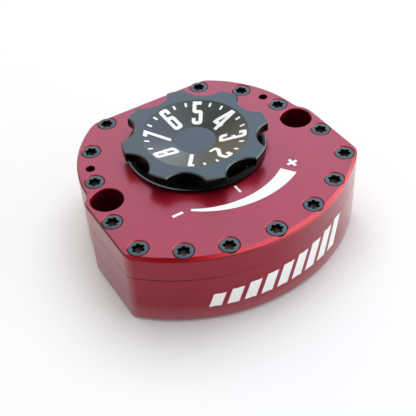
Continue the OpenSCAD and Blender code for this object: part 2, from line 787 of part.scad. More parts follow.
module click_springs() {
    color(steel) for (side = [0, 180]) rotate(side) translate([ball_circle_r, 0, 0]) click_spring();
}

module stop_pin() {
    color(steel) rotate(stop_angle) translate([stop_circle_r, 0, top_z - stop_down])
        bevelled_disc(stop_pin_d / 2, stop_down + stop_up, edge_bevel, edge_bevel);
}

// Rotor

module rotor_shaft() {
    low_way_z = seat_z - seat_l - oilway_r;
    high_way_z = seat_z + 2 * oilway_r;
    color(steel) difference() {
        union() {
            cylinder(r = lower_journal_r, h = hub_z + over);
            translate([0, 0, hub_z]) cylinder(r = hub_r, h = hub_top - hub_z);
            translate([0, 0, body_h - thrust_t - over])
                cylinder(r = upper_journal_r, h = thrust_t + over + upper_journal_l);
            intersection() {
                translate([0, 0, floor_t + pass_gap])
                    cylinder(r = vane_tip_r, h = body_h - floor_t - 2 * pass_gap);
                union() {
                    translate([-vane_t / 2, -chamber_r, 0]) cube([vane_t, chamber_r - pocket_r, body_h]);
                    translate([-vane_t / 2, -chamber_r, hub_z]) cube([vane_t, chamber_r, hub_top - hub_z]);
                }
            }
        }
        vane_strip(seat_gap);
        translate([0, 0, seat_z]) cylinder(r = needle_bore_r, h = body_h);
        translate([0, 0, low_way_z]) cylinder(r = seat_r, h = seat_z);
        translate([0, 0, high_way_z]) rotate([90, 0, -way_angle]) cylinder(r = oilway_r, h = hub_r + over);
        translate([0, 0, low_way_z]) rotate([90, 0, way_angle]) cylinder(r = oilway_r, h = hub_r + over);
        for (n = [0:3])
            rotate(45 + 90 * n) translate([arm_circle_r, 0, -over])
                cylinder(d = arm_hole_d, h = arm_hole_depth + over);
    }
}

module vane_seal() {
    color(black_rubber) vane_strip(0);
}

// Adjuster

// Knob turned as one profile, then cut for the fingers, the clicks and the stop pin
module adjuster_knob() {
    color(black_anodise) difference() {
        rotate_extrude() knob_profile();
        finger_hollows();
        click_hollows();
        stop_slot();
    }
}

// Half section of the knob: hub, flange, overhanging grip and hollow dial
module knob_profile() {
    bore = post_r + run_gap;
    hub_under_z = top_z - knob_hub_l;
    neck_r = flange_r - flange_slope - grip_bevel;
    polygon([
        [bore, hub_under_z], [knob_hub_r, hub_under_z], [knob_hub_r, knob_under_z],
        [flange_r - grip_bevel, knob_under_z], [flange_r, knob_under_z + grip_bevel],
        [flange_r, flange_top_z - flange_slope], [neck_r, flange_top_z + grip_bevel],
        [neck_r, grip_under_z], [grip_r - grip_bevel, grip_under_z],
        [grip_r, grip_under_z + grip_bevel], [grip_r, knob_top_z - grip_bevel],
        [grip_r - grip_bevel, knob_top_z], [dial_r, knob_top_z],
        [cap_r, dial_floor_z], [cap_r, knob_under_z], [bore, knob_under_z]
    ]);
}

// Hollows for the fingers, with bevelled top edges
module finger_hollows() {
    h = knob_top_z - flange_top_z;
    for (n = [0:lobe_count - 1])
        rotate(knob_phase + 360 / lobe_count * n) translate([hollow_circle_r, 0, flange_top_z])
            rotate_extrude()
                polygon([[0, 0], [hollow_r, 0], [hollow_r, h - grip_bevel], [hollow_r + grip_bevel, h],
                    [hollow_r + grip_bevel + over, h + over], [0, h + over]]);
}

// Hollows in the knob's underside that the click balls drop into
module click_hollows() {
    for (n = [0:click_count - 1])
        rotate(click_step * n - turn_to_first) translate([ball_circle_r, 0, ball_z + click_depth])
            sphere(r = ball_r + run_gap);
}

// Slot in the knob's underside that meets the stop pin at the first and the last number
module stop_slot() {
    end_turn = asin(stop_slot_half / stop_circle_r);
    first = stop_angle - turn_to_first - end_turn;
    last = first + dial_span + 2 * end_turn;
    inner = stop_circle_r - stop_slot_half;
    outer = stop_circle_r + stop_slot_half;
    translate([0, 0, knob_under_z - over]) ring_part(inner, outer, stop_up + over, first, last);
}

// Flat cap in the middle of the dial, with the slotted boss that drives the needle
module dial_cap() {
    boss_r = post_bore_r - pass_gap;
    boss_z = tongue_z + pass_gap;
    slot_top = tongue_z + tongue_l + 2 * pass_gap;
    color(black_anodise) difference() {
        union() {
            translate([0, 0, cap_under_z]) bevelled_disc(cap_r - seat_gap, cap_t, 0, 0);
            translate([0, 0, boss_z]) cylinder(r = boss_r, h = dial_floor_z - boss_z);
        }
        intersection() {
            translate([0, 0, boss_z - over]) cylinder(r = tongue_r + run_gap, h = slot_top - boss_z + over);
            translate([-boss_r, -tongue_half - run_gap, boss_z - over])
                cube([2 * boss_r, 2 * (tongue_half + run_gap), slot_top - boss_z + over]);
        }
    }
}

// Needle: tongue, threaded stem and tapered tip
module valve_needle() {
    tip_z = seat_z - tip_reach;
    shoulder_z = tip_z + (needle_r - tip_r) / tan(tip_angle);
    color(brass) {
        rotate_extrude()
            polygon([[0, tip_z], [tip_r, tip_z], [needle_r, shoulder_z], [needle_r, tapped_top_z],
                [0, tapped_top_z]]);
        intersection() {
            translate([0, 0, tapped_top_z]) cylinder(r = tongue_r, h = pass_gap + tongue_l);
            translate([-tongue_r, -tongue_half, tapped_top_z])
                cube([2 * tongue_r, 2 * tongue_half, pass_gap + tongue_l]);
        }
    }
}

main_body();
top_cover();
cover_screws();
cover_seal();
locating_dowels();
upper_bush();
lower_bush();
upper_thrust_washer();
lower_thrust_washer();
shaft_seal();
seal_retaining_ring();
oil_plugs();
oil_plug_washers();
valve_gland();
stem_seal();
knob_clip();
click_balls();
click_springs();
stop_pin();
rotor_shaft();
vane_seal();
adjuster_knob();
dial_cap();
valve_needle();
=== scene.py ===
"""Studio scene of a motorcycle steering damper: finishes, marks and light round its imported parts."""

from __future__ import annotations

import logging
import math
from abc import ABC, abstractmethod
from dataclasses import dataclass
from enum import Enum
from functools import cache
from typing import Any, Callable, Mapping, NamedTuple, Sequence, Union

import bmesh
import bpy
import numpy as np
from mathutils import Euler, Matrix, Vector
from mathutils.geometry import delaunay_2d_cdt


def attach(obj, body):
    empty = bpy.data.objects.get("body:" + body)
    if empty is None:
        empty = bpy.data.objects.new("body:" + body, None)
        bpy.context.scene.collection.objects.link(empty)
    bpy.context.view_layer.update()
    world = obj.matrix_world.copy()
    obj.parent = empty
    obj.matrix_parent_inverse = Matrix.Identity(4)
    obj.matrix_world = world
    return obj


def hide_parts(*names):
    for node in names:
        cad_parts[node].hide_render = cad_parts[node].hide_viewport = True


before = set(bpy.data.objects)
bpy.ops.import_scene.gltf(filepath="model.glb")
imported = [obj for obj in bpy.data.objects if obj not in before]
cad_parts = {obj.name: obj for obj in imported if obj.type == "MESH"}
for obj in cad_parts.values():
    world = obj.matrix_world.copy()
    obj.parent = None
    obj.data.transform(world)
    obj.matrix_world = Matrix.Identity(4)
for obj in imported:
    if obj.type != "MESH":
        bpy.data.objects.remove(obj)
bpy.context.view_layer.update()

LOG = logging.getLogger("steering_damper")
MM = 0.001
IMAGE_PX = 416

Colour = tuple[float, float, float]
Span = tuple[float, float]
Bore = tuple[float, float, float]
Point = tuple[float, float]
Outline = list[Point]
Key = Union[int, str]
Feed = Union["Wire", float, int, Sequence[float]]
Method = Callable[["Wire", Feed], "Wire"]
Placer = Callable[[float, float, float], Vector]

WHITE: Colour = (1.0, 1.0, 1.0)


class Body(Enum):
    """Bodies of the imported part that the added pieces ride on."""

    HOUSING = "housing"
    ADJUSTER = "adjuster"


class Slot(Enum):
    """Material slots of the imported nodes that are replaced."""

    OXIDE = "black_oxide_steel"
    STEEL = "bright_steel"


def scaled(colour: Colour, share: float) -> Colour:
    """Return a share of a linear colour."""
    return tuple(part * share for part in colour)


def operator_pair(operation: str) -> tuple[Method, Method]:
    """Make the two methods of an arithmetic operator.

    Args:
        operation: Name of the Math node's operation.

    Returns:
        The plain method and the reflected one.
    """

    def plain(self: Wire, other: Feed) -> Wire:
        """Return the operation on this value and another."""
        return self.graph.maths(operation, self, other)

    def reflected(self: Wire, other: Feed) -> Wire:
        """Return the operation on another value and this one."""
        return self.graph.maths(operation, other, self)

    return plain, reflected


class Wire:
    """An output socket, with arithmetic that adds Math nodes to its tree."""

    __add__, __radd__ = operator_pair("ADD")
    __sub__, __rsub__ = operator_pair("SUBTRACT")
    __mul__, __rmul__ = operator_pair("MULTIPLY")
    __truediv__, __rtruediv__ = operator_pair("DIVIDE")
    __mod__, __rmod__ = operator_pair("MODULO")
    __pow__, __rpow__ = operator_pair("POWER")

    def __init__(self, graph: Graph, socket: bpy.types.NodeSocket) -> None:
        """Keep the socket and the graph that it belongs to."""
        self.graph = graph
        self.socket = socket

    def above(self, span: Span) -> Wire:
        """Return a smooth step that rises from 0 to 1 over a span.

        Args:
            span: Values at the foot and at the top of the step.

        Returns:
            The step.
        """
        low, high = span
        return self.graph.node(
            "ShaderNodeMapRange",
            {"Value": self, "From Min": low, "From Max": high},
            {"interpolation_type": "SMOOTHSTEP"},
        )

    def below(self, span: Span) -> Wire:
        """Return a smooth step that falls from 1 to 0 over a span."""
        return 1 - self.above(span)


class Graph:
    """A node tree that is filled through one method."""

    def __init__(self, tree: bpy.types.NodeTree) -> None:
        """Empty the tree and keep it."""
        self.tree = tree
        tree.nodes.clear()

    @staticmethod
    def pick(sockets: Any, key: Key) -> bpy.types.NodeSocket:
        """Find a socket.

        Args:
            sockets: Inputs or outputs of a node.
            key: Place, identifier or name of the socket.

        Returns:
            The socket.
        """
        if isinstance(key, int):
            return sockets[key]
        return next(s for s in sockets if key == s.identifier or key == s.name and s.enabled)

    def add(
        self, kind: str, feeds: Mapping[Key, Any] | None = None, settings: Mapping[str, Any] | None = None
    ) -> bpy.types.Node:
        """Add a node.

        Args:
            kind: Blender's type name of the node.
            feeds: Values or wires for its input sockets; a colour gets full alpha.
            settings: Properties of the node, set first.

        Returns:
            The node.
        """
        made = self.tree.nodes.new(kind)
        for name, value in (settings or {}).items():
            setattr(made, name, value)
        for key, value in (feeds or {}).items():
            socket = self.pick(made.inputs, key)
            if isinstance(value, Wire):
                self.tree.links.new(value.socket, socket)
            else:
                socket.default_value = (*value, 1.0) if socket.type == "RGBA" else value
        return made

    def node(
        self,
        kind: str,
        feeds: Mapping[Key, Any] | None = None,
        settings: Mapping[str, Any] | None = None,
        out: Key = 0,
    ) -> Wire:
        """Add a node, as add does, and return the output named by out."""
        return Wire(self, self.pick(self.add(kind, feeds, settings).outputs, out))

    def maths(self, operation: str, one: Feed, two: Feed = 0.0) -> Wire:
        """Return the value of one Math node."""
        return self.node("ShaderNodeMath", {0: one, 1: two}, {"operation": operation})

    def axes(self, vector: Wire) -> list[Wire]:
        """Split a vector into its three values."""
        parts = self.add("ShaderNodeSeparateXYZ", {0: vector})
        return [Wire(self, socket) for socket in parts.outputs]


class ShaderGraph(Graph):
    """Node tree of a material or the world."""

    def point(self) -> Wire:
        """Return the place on the piece, in metres."""
        return self.node("ShaderNodeTexCoord", out="Object")

    def facing(self) -> list[Wire]:
        """Return how far the surface faces right, back and up, from -1 to 1."""
        return self.axes(self.node("ShaderNodeNewGeometry", out="Normal"))

    def mix(self, share: Feed, first: Feed, second: Feed) -> Wire:
        """Blend two colours.

        Args:
            share: How much of the second colour shows, from 0 to 1.
            first: Colour at 0.
            second: Colour at 1.

        Returns:
            The blend.
        """
        return self.node(
            "ShaderNodeMix",
            {"Factor_Float": share, "A_Color": first, "B_Color": second},
            {"data_type": "RGBA"},
            "Result_Color",
        )

    def noise(self, point: Wire, scale: float, detail: float = 2.0) -> Wire:
        """Return a noise of 0 to 1 with features of about 1 / scale metres."""
        return self.node("ShaderNodeTexNoise", {"Vector": point, "Scale": scale, "Detail": detail})

    def bump(self, grain: Wire, height: float) -> Wire:
        """Return a normal that a grain of some height in metres disturbs."""
        return self.node("ShaderNodeBump", {"Distance": height, "Height": grain})

    def surface(self, feeds: Mapping[Key, Feed]) -> Wire:
        """Return a surface shader with some of its inputs set."""
        return self.node("ShaderNodeBsdfPrincipled", feeds)


@dataclass(frozen=True)
class Finish(ABC):
    """A surface finish, made once as a material."""

    name: str

    @abstractmethod
    def shade(self, graph: ShaderGraph) -> Wire:
        """Add the finish's nodes.

        Args:
            graph: Tree of the material.

        Returns:
            The shader.
        """

    @cache
    def material(self) -> bpy.types.Material:
        """Make the material, or return it if it is made already.

        Returns:
            The material.
        """
        made = bpy.data.materials.new(self.name)
        made.use_nodes = True
        graph = ShaderGraph(made.node_tree)
        graph.add("ShaderNodeOutputMaterial", {"Surface": self.shade(graph)})
        return made


class RedZones(NamedTuple):
    """Zones of the red alloy, each a mask from 0 to 1."""

    bevel: Wire
    bevel_lit: Wire
    bevel_end: Wire
    upright: Wire
    front: Wire
    side: Wire
    shaded_rim: Wire
    lit_rim: Wire
    shaded: Wire
    seam: Wire
    bore: Wire
    foot: Wire


@dataclass(frozen=True)
class RedAnodise(Finish):
    """Bead-blasted alloy, dyed red under a clear sealed oxide, with a dark seam, other gloss, and painted
    highlights, reflections and shade in its zones.

    Spans with _z in their name are heights in metres. The other spans are values of a noise, or of how
    far the surface faces right, back or up. Shares and losses go from 0 to 1.
    """

    dye: Colour = (0.345, 0.003, 0.020)
    deep_dye: Colour = (0.325, 0.003, 0.019)
    cloud_scale: float = 55.0
    cloud_span: Span = (0.35, 0.65)
    grain_scale: float = 5200.0
    grain_height: float = 0.010 * MM
    grain_rough: float = 0.12
    roughness: float = 0.34
    metallic: float = 0.40
    coat_roughness: float = 0.22
    coat_ior: float = 1.5

    cover_z: Span = (23.0 * MM, 24.0 * MM)
    upright_up: Span = (0.2, 0.4)
    # Painted shade: a darker copy of the dye on the upright walls.
    wall_shade: Colour = (0.265, 0.003, 0.021)
    front_back: Span = (-0.75, -0.45)
    front_right: Span = (-0.1, 0.4)
    front_coat_loss: float = 0.85
    side_right: Span = (0.35, 0.75)
    side_coat_loss: float = 0.46

    bevel_low: Span = (0.35, 0.60)
    bevel_high: Span = (0.82, 0.96)
    bevel_lit_right: Span = (-0.34, -0.12)
    bevel_end_back: Span = (-0.45, -0.25)
    bevel_end_right: Span = (0.1, 0.3)
    bevel_share: float = 0.8
    bevel_metal: float = 0.25
    bevel_coat_loss: float = 0.1
    # Painted light on the bevels: a lit colour where they face the front or right, painted shade where they
    # face left, and a painted reflection of the pale floor where they face neither the front nor the right.
    edge_lit: Colour = (0.47, 0.003, 0.020)
    edge_shade: Colour = (0.70, 0.002, 0.016)
    edge_end_reflection: Colour = (0.20, 0.05, 0.05)

    rim_back: Span = (-0.6, -0.3)
    rim_lit_right: Span = (-0.25, 0.12)
    # Top rim of the front walls: a painted highlight where it faces right, painted shade where it faces
    # left.
    rim_shade: Colour = (0.15, 0.002, 0.007)
    rim_shade_z: Span = (29.0 * MM, 29.9 * MM)
    rim_highlight: Colour = (0.62, 0.030, 0.050)
    rim_highlight_z: Span = (27.8 * MM, 29.9 * MM)
    shaded_bevel: float = 0.6
    shaded_metal: float = 0.25
    shaded_coat_loss: float = 0.85

    seam_dye: Colour = (0.13, 0.002, 0.010)
    seam_mid: float = 21.0 * MM
    seam_half: float = 0.16 * MM
    seam_soft: float = 0.05 * MM
    seam_back: Span = (-0.6, -0.1)
    seam_back_loss: float = 0.95
    seam_right: Span = (-0.3, 0.3)
    seam_right_loss: float = 0.8
    seam_coat_loss: float = 0.7

    # Painted reflection of the pale floor, low on the walls and fading upwards.
    foot_reflection: Colour = (0.40, 0.100, 0.115)
    foot_z: Span = (0.0, 10.0 * MM)
    # Painted shade inside the mounting bores and the small holes.
    bore_shade: Colour = (0.10, 0.002, 0.004)
    bores: tuple[Bore, ...] = ((40.0, -6.8, 5.8), (37.47, 11.26, 1.75))
    bore_soft: float = 0.1
    bore_coat_loss: float = 0.8

    def bore(self, graph: ShaderGraph, across: Wire, along: Wire) -> Wire:
        """Find the mounting bores and the small holes, which lie alike on both sides.

        Args:
            graph: Tree of the material.
            across: Place from left to right.
            along: Place from front to back.

        Returns:
            The mask of the inside of all bores.
        """
        inside: Feed = 0.0
        away = graph.maths("ABSOLUTE", across)
        for x, y, radius in self.bores:
            reach = ((away - x * MM) ** 2 + (along - y * MM) ** 2) ** 0.5
            inside = inside + reach.below(((radius - self.bore_soft) * MM, (radius + self.bore_soft) * MM))
        return inside

    def seam(self, right: Wire, back: Wire, height: Wire) -> Wire:
        """Find the seam between the body and the cover, which fades to the right and the back.

        Args:
            right: How far the surface faces right.
            back: How far it faces back.
            height: Height over the base.

        Returns:
            The seam's mask.
        """
        low, high = self.seam_mid - self.seam_half, self.seam_mid + self.seam_half
        line = height.above((low - self.seam_soft, low)) * height.below((high, high + self.seam_soft))
        line = line * (1 - back.above(self.seam_back) * self.seam_back_loss)
        return line * (1 - right.above(self.seam_right) * self.seam_right_loss)

    def zones(self, graph: ShaderGraph, point: Wire) -> RedZones:
        """Find the zones of the body and the cover.

        Args:
            graph: Tree of the material.
            point: Place on the piece.

        Returns:
            The masks of the zones.
        """
        right, back, up = graph.facing()
        across, along, height = graph.axes(point)
        rise = up * height.above(self.cover_z)
        bevel = rise.above(self.bevel_low) * rise.below(self.bevel_high)
        bevel_lit = right.above(self.bevel_lit_right)
        upright = rise.below(self.upright_up)
        # Top rim of the front walls, which gets the painted highlight and shade.
        rim = upright * back.below(self.rim_back)
        rim_lit = right.above(self.rim_lit_right)
        shaded_rim = rim * height.above(self.rim_shade_z) * (1 - rim_lit)
        return RedZones(
            bevel=bevel,
            bevel_lit=bevel_lit,
            bevel_end=back.above(self.bevel_end_back) * right.below(self.bevel_end_right),
            upright=upright,
            front=back.below(self.front_back) * right.below(self.front_right) * upright,
            side=upright * right.below(self.side_right),
            shaded_rim=shaded_rim,
            lit_rim=rim * height.above(self.rim_highlight_z) * rim_lit,
            shaded=shaded_rim + bevel * (1 - bevel_lit) * self.shaded_bevel,
            seam=self.seam(right, back, height),
            bore=self.bore(graph, across, along),
            foot=height.below(self.foot_z) * upright,
        )

    def colour(self, graph: ShaderGraph, point: Wire, zones: RedZones) -> Wire:
        """Colour the alloy zone by zone: its dye, the dark seam, and painted highlights, reflections and
        shade.

        Args:
            graph: Tree of the material.
            point: Place on the piece.
            zones: Masks of the zones.

        Returns:
            The colour.
        """
        cloud = graph.noise(point, self.cloud_scale).above(self.cloud_span)
        dye = graph.mix(cloud, self.deep_dye, self.dye)
        # Painted light and shade on the bevels, by which way they face, and a painted floor reflection on
        # those facing away.
        edge = graph.mix(zones.bevel_lit, self.edge_shade, self.edge_lit)
        edge = graph.mix(zones.bevel_end, edge, self.edge_end_reflection)
        dye = graph.mix(zones.bevel * self.bevel_share, dye, edge)
        # Painted shade on the walls, a painted highlight and shade on their top rim, a painted floor
        # reflection low on them, painted shade in the bores, and the dark seam.
        layers = (
            (zones.upright, self.wall_shade),
            (zones.shaded_rim, self.rim_shade),
            (zones.lit_rim, self.rim_highlight),
            (zones.foot, self.foot_reflection),
            (zones.bore, self.bore_shade),
            (zones.seam, self.seam_dye),
        )
        for zone, layer in layers:
            dye = graph.mix(zone, dye, layer)
        return dye

    def coat(self, zones: RedZones) -> Wire:
        """Thin the clear coat zone by zone.

        Args:
            zones: Masks of the zones.

        Returns:
            The coat's weight.
        """
        losses = (
            (zones.seam, self.seam_coat_loss),
            (zones.bevel, self.bevel_coat_loss),
            (zones.front, self.front_coat_loss),
            (zones.side, self.side_coat_loss),
            (zones.bore, self.bore_coat_loss),
            (zones.shaded, self.shaded_coat_loss),
        )
        weight: Feed = 1.0
        for zone, loss in losses:
            weight = weight * (1 - zone * loss)
        return weight

    def shade(self, graph: ShaderGraph) -> Wire:
        """Lay satin red with a fine grain under the coat.

        Args:
            graph: Tree of the material.

        Returns:
            The shader.
        """
        point = graph.point()
        zones = self.zones(graph, point)
        grain = graph.noise(point, self.grain_scale)
        return graph.surface({
            "Base Color": self.colour(graph, point, zones),
            "Roughness": self.roughness + (grain - 0.5) * self.grain_rough,
            "Metallic": self.metallic + zones.bevel * self.bevel_metal + zones.shaded * self.shaded_metal,
            "Coat Weight": self.coat(zones),
            "Coat Roughness": self.coat_roughness,
            "Coat IOR": self.coat_ior,
            "Normal": graph.bump(grain, self.grain_height),
        })


@dataclass(frozen=True)
class BlackAnodise(Finish):
    """Black dyed alloy: satin on the grip with painted shade on its sides and flange, a painted highlight on
    the flange's rim, and a finely turned dial.
    """

    tone: Colour = (0.112, 0.138, 0.127)
    cloud_scale: float = 90.0
    cloud_share: float = 0.9
    roughness: float = 0.32
    grain_scale: float = 4200.0
    grain_height: float = 0.008 * MM
    grain_rough: float = 0.1
    soft: float = 0.05 * MM
    step: float = 0.1 * MM

    # Painted shade on the grip's sides, as shares of the tone, darkest where they face the front.
    top_up: Span = (0.3, 0.8)
    front_back: Span = (-0.6, 0.0)
    front_shade_share: float = 0.06
    side_shade_share: float = 0.60

    # Painted shade on the flange under the grip.
    flange_z: float = 34.0 * MM
    flange_up: Span = (0.3, 0.6)
    flange_shade_share: float = 0.05
    # Painted highlight along the flange's far rim.
    flange_highlight: Colour = (0.28, 0.34, 0.39)
    rim_r: float = 25.2 * MM
    rim_back: Span = (-0.66, -0.40)

    dial_r: float = 19.5 * MM
    cap_r: float = 7.5 * MM
    dial_low: float = 34.2 * MM
    dial_tone: Colour = (0.112, 0.127, 0.121)
    dial_share: float = 0.8
    dial_roughness: float = 0.30
    dial_turning: float = 0.75

    def grip_colour(self, graph: ShaderGraph, point: Wire, radius: Wire, height: Wire) -> Wire:
        """Colour the grip's top, with painted shade on its sides and the flange and a painted highlight on
        the flange's far rim.

        Args:
            graph: Tree of the material.
            point: Place on the piece.
            radius: Distance from the knob's axis.
            height: Height over the base.

        Returns:
            The colour.
        """
        _, back, up = graph.facing()
        cloud = graph.noise(point, self.cloud_scale)
        tone = graph.mix(cloud, self.tone, scaled(self.tone, self.cloud_share))
        # Painted shade on the grip's sides, darkest where they face the front.
        front, side = scaled(self.tone, self.front_shade_share), scaled(self.tone, self.side_shade_share)
        high = height.above((self.flange_z - self.step, self.flange_z))
        sides = graph.mix(back.above(self.front_back), front, side)
        tone = graph.mix(up.above(self.top_up) * high, sides, tone)
        # Painted shade on the flange under the grip.
        flange = up.above(self.flange_up) * (1 - high)
        tone = graph.mix(flange, tone, scaled(self.tone, self.flange_shade_share))
        # Painted highlight along the flange's far rim.
        rim = flange * radius.above((self.rim_r, self.rim_r + self.step)) * back.above(self.rim_back)
        return graph.mix(rim, tone, self.flange_highlight)

    def shade(self, graph: ShaderGraph) -> Wire:
        """Lay satin on the grip and a turned sheen inside the dial's rim.

        Args:
            graph: Tree of the material.

        Returns:
            The shader.
        """
        point = graph.point()
        x, y, height = graph.axes(point)
        radius = (x * x + y * y) ** 0.5
        dial = radius.above((self.cap_r, self.cap_r + self.soft))
        dial = dial * height.above((self.dial_low, self.dial_low + self.step))
        dial = dial * radius.below((self.dial_r - self.soft, self.dial_r))
        grain = graph.noise(point, self.grain_scale)
        bump = graph.bump(grain, self.grain_height)
        grip = graph.surface({
            "Base Color": self.grip_colour(graph, point, radius, height),
            "Metallic": 1.0,
            "Roughness": self.roughness + (grain - 0.5) * self.grain_rough,
            "Normal": bump,
        })
        turned = graph.surface({
            "Base Color": graph.mix(grain, self.dial_tone, scaled(self.dial_tone, self.dial_share)),
            "Metallic": 1.0,
            "Roughness": self.dial_roughness,
            "Anisotropic": self.dial_turning,
            "Normal": bump,
        })
        return graph.node("ShaderNodeMixShader", {0: dial, 1: grip, 2: turned})


@dataclass(frozen=True)
class PlainMetal(Finish):
    """A metal in one colour, with a fine grain and faint stains."""

    tone: Colour
    stain: Colour
    roughness: float
    stain_scale: float = 160.0
    stain_detail: float = 3.0
    stain_span: Span = (0.4, 0.7)
    grain_scale: float = 3000.0
    grain_height: float = 0.006 * MM
    grain_rough: float = 0.14

    def colour(self, graph: ShaderGraph, point: Wire) -> Wire:
        """Return the metal's colour with its stains."""
        cloud = graph.noise(point, self.stain_scale, self.stain_detail).above(self.stain_span)
        return graph.mix(cloud, self.tone, self.stain)

    def shade(self, graph: ShaderGraph) -> Wire:
        """Lay the metal with its stains and grain.

        Args:
            graph: Tree of the material.

        Returns:
            The shader.
        """
        point = graph.point()
        grain = graph.noise(point, self.grain_scale)
        return graph.surface({
            "Base Color": self.colour(graph, point),
            "Metallic": 1.0,
            "Roughness": self.roughness + (grain - 0.5) * self.grain_rough,
            "Normal": graph.bump(grain, self.grain_height),
        })


@dataclass(frozen=True)
class ShadedHeadMetal(PlainMetal):
    """A dark metal, paler on the flat of a screw's head, with painted shade on its edge and drive walls and
    a painted glint on the drive's floor.
    """

    # Painted shade on the head's edge and the drive's walls, and a painted warm glint on the drive's floor.
    edge_shade_tone: Colour = (0.010, 0.011, 0.012)
    floor_glint_tone: Colour = (0.060, 0.052, 0.040)
    flat_up: Span = (0.85, 0.97)
    flat_z: Span = (30.4 * MM, 30.5 * MM)

    def colour(self, graph: ShaderGraph, point: Wire) -> Wire:
        """Colour the flat of the head, with painted shade on its edge and the drive's walls and a painted
        brown glint on the drive's floor.

        Args:
            graph: Tree of the material.
            point: Place on the piece.

        Returns:
            The colour.
        """
        flat = graph.facing()[2].above(self.flat_up)
        high = graph.axes(point)[2].above(self.flat_z)
        # Painted shade off the flat, and a painted glint on the drive's floor.
        low = graph.mix(flat, self.edge_shade_tone, self.floor_glint_tone)
        return graph.mix(flat * high, low, super().colour(graph, point))


@dataclass(frozen=True)
class DullSkin(Finish):
    """A skin without metal, such as rubber or ink, with a fine stipple in colour, gloss and height."""

    tone: Colour
    stipple: Colour
    roughness: float
    grain_rough: float
    grain_scale: float
    grain_detail: float
    grain_height: float

    def shade(self, graph: ShaderGraph) -> Wire:
        """Lay the skin with its stipple.

        Args:
            graph: Tree of the material.

        Returns:
            The shader.
        """
        grain = graph.noise(graph.point(), self.grain_scale, self.grain_detail)
        return graph.surface({
            "Base Color": graph.mix(grain, self.tone, self.stipple),
            "Roughness": self.roughness + grain * self.grain_rough,
            "Normal": graph.bump(grain, self.grain_height),
        })


RED = RedAnodise("red_anodise")
BLACK = BlackAnodise("black_anodise")
OXIDE = ShadedHeadMetal("black_oxide", (0.120, 0.148, 0.138), (0.10, 0.125, 0.117), 0.34)
STEEL = PlainMetal("bright_steel", (0.56, 0.57, 0.58), (0.46, 0.47, 0.48), 0.28)
BRONZE = PlainMetal("bearing_bronze", (0.55, 0.33, 0.13), (0.46, 0.27, 0.10), 0.34)
BRASS = PlainMetal("brass", (0.72, 0.50, 0.18), (0.62, 0.41, 0.14), 0.26)
RUBBER = DullSkin(
    "black_rubber",
    tone=(0.012, 0.012, 0.013),
    stipple=(0.02, 0.02, 0.021),
    roughness=0.55,
    grain_rough=0.15,
    grain_scale=2600.0,
    grain_detail=3.0,
    grain_height=0.01 * MM,
)
INK = DullSkin(
    "white_ink",
    tone=(0.93, 0.93, 0.92),
    stipple=scaled((0.93, 0.93, 0.92), 0.95),
    roughness=0.42,
    grain_rough=0.1,
    grain_scale=2400.0,
    grain_detail=2.0,
    grain_height=0.004 * MM,
)

SHARP_EDGE = math.radians(35.0)
CORNER_STEPS = 6
SAME_POINT = 1e-4
JOIN_SHARE = 1e-3
# The shifts differ, so that the grid's points keep off the edges of outlines that are symmetric.
GRID_SHIFT = (0.5, 0.47)


def dress(finish: Finish, *nodes: str) -> None:
    """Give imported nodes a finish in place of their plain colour.

    Args:
        finish: The finish.
        nodes: Names of the nodes.
    """
    for name in nodes:
        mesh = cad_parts[name].data
        mesh.materials.clear()
        mesh.materials.append(finish.material())
        LOG.info("dressed %s in %s", name, finish.name)


def add_piece(name: str, mesh: bpy.types.Mesh, body: Body) -> bpy.types.Object:
    """Link a mesh at the origin as a piece that rides on a body.

    Args:
        name: Name of the piece.
        mesh: Its mesh, in place.
        body: What it rides on.

    Returns:
        The piece.
    """
    piece = bpy.data.objects.new(name, mesh)
    bpy.context.scene.collection.objects.link(piece)
    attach(piece, body.value)
    LOG.info("made %s: %d faces", name, len(mesh.polygons))
    return piece


def smooth_mesh(mesh: bpy.types.Mesh) -> None:
    """Shade a mesh smooth, apart from its sharp edges."""
    mesh.polygons.foreach_set("use_smooth", [True] * len(mesh.polygons))
    mesh.set_sharp_from_angle(angle=SHARP_EDGE)


def close_form(name: str, form: bmesh.types.BMesh) -> bpy.types.Mesh:
    """Turn a closed form's faces outwards, make it a smooth mesh and free it.

    Args:
        name: Name of the mesh.
        form: The form.

    Returns:
        The mesh.
    """
    bmesh.ops.recalc_face_normals(form, faces=form.faces)
    mesh = bpy.data.meshes.new(name)
    form.to_mesh(mesh)
    form.free()
    smooth_mesh(mesh)
    return mesh


def stroke(path: Sequence[Point], width: float) -> list[Outline]:
    """Draw a line of some width along a path.

    Args:
        path: Corners of the line's middle.
        width: Width of the line.

    Returns:
        Overlapping outlines, counter-clockwise, which together cover the line.
    """
    half = width / 2
    outlines: list[Outline] = []
    for (x0, y0), (x1, y1) in zip(path, path[1:]):
        length = math.hypot(x1 - x0, y1 - y0)
        nx, ny = -(y1 - y0) / length * half, (x1 - x0) / length * half
        outlines.append([(x0 - nx, y0 - ny), (x1 - nx, y1 - ny), (x1 + nx, y1 + ny), (x0 + nx, y0 + ny)])
    for before, here, after in zip(path, path[1:], path[2:]):
        a, b, c = Vector(before), Vector(here), Vector(after)
        into, out = (b - a).normalized(), (c - b).normalized()
        side = -1.0 if into.cross(out) > 0 else 1.0
        first = Vector((-into.y, into.x)) * half * side
        last = Vector((-out.y, out.x)) * half * side
        middle = first + last
        kite = [b, b + first, b + last]
        if middle.length > half:
            kite.insert(2, b + middle * (2 * half**2 / middle.length_squared))
        kite = [tuple(p) for p in kite]
        outlines.append(kite if side < 0 else kite[::-1])
    return outlines


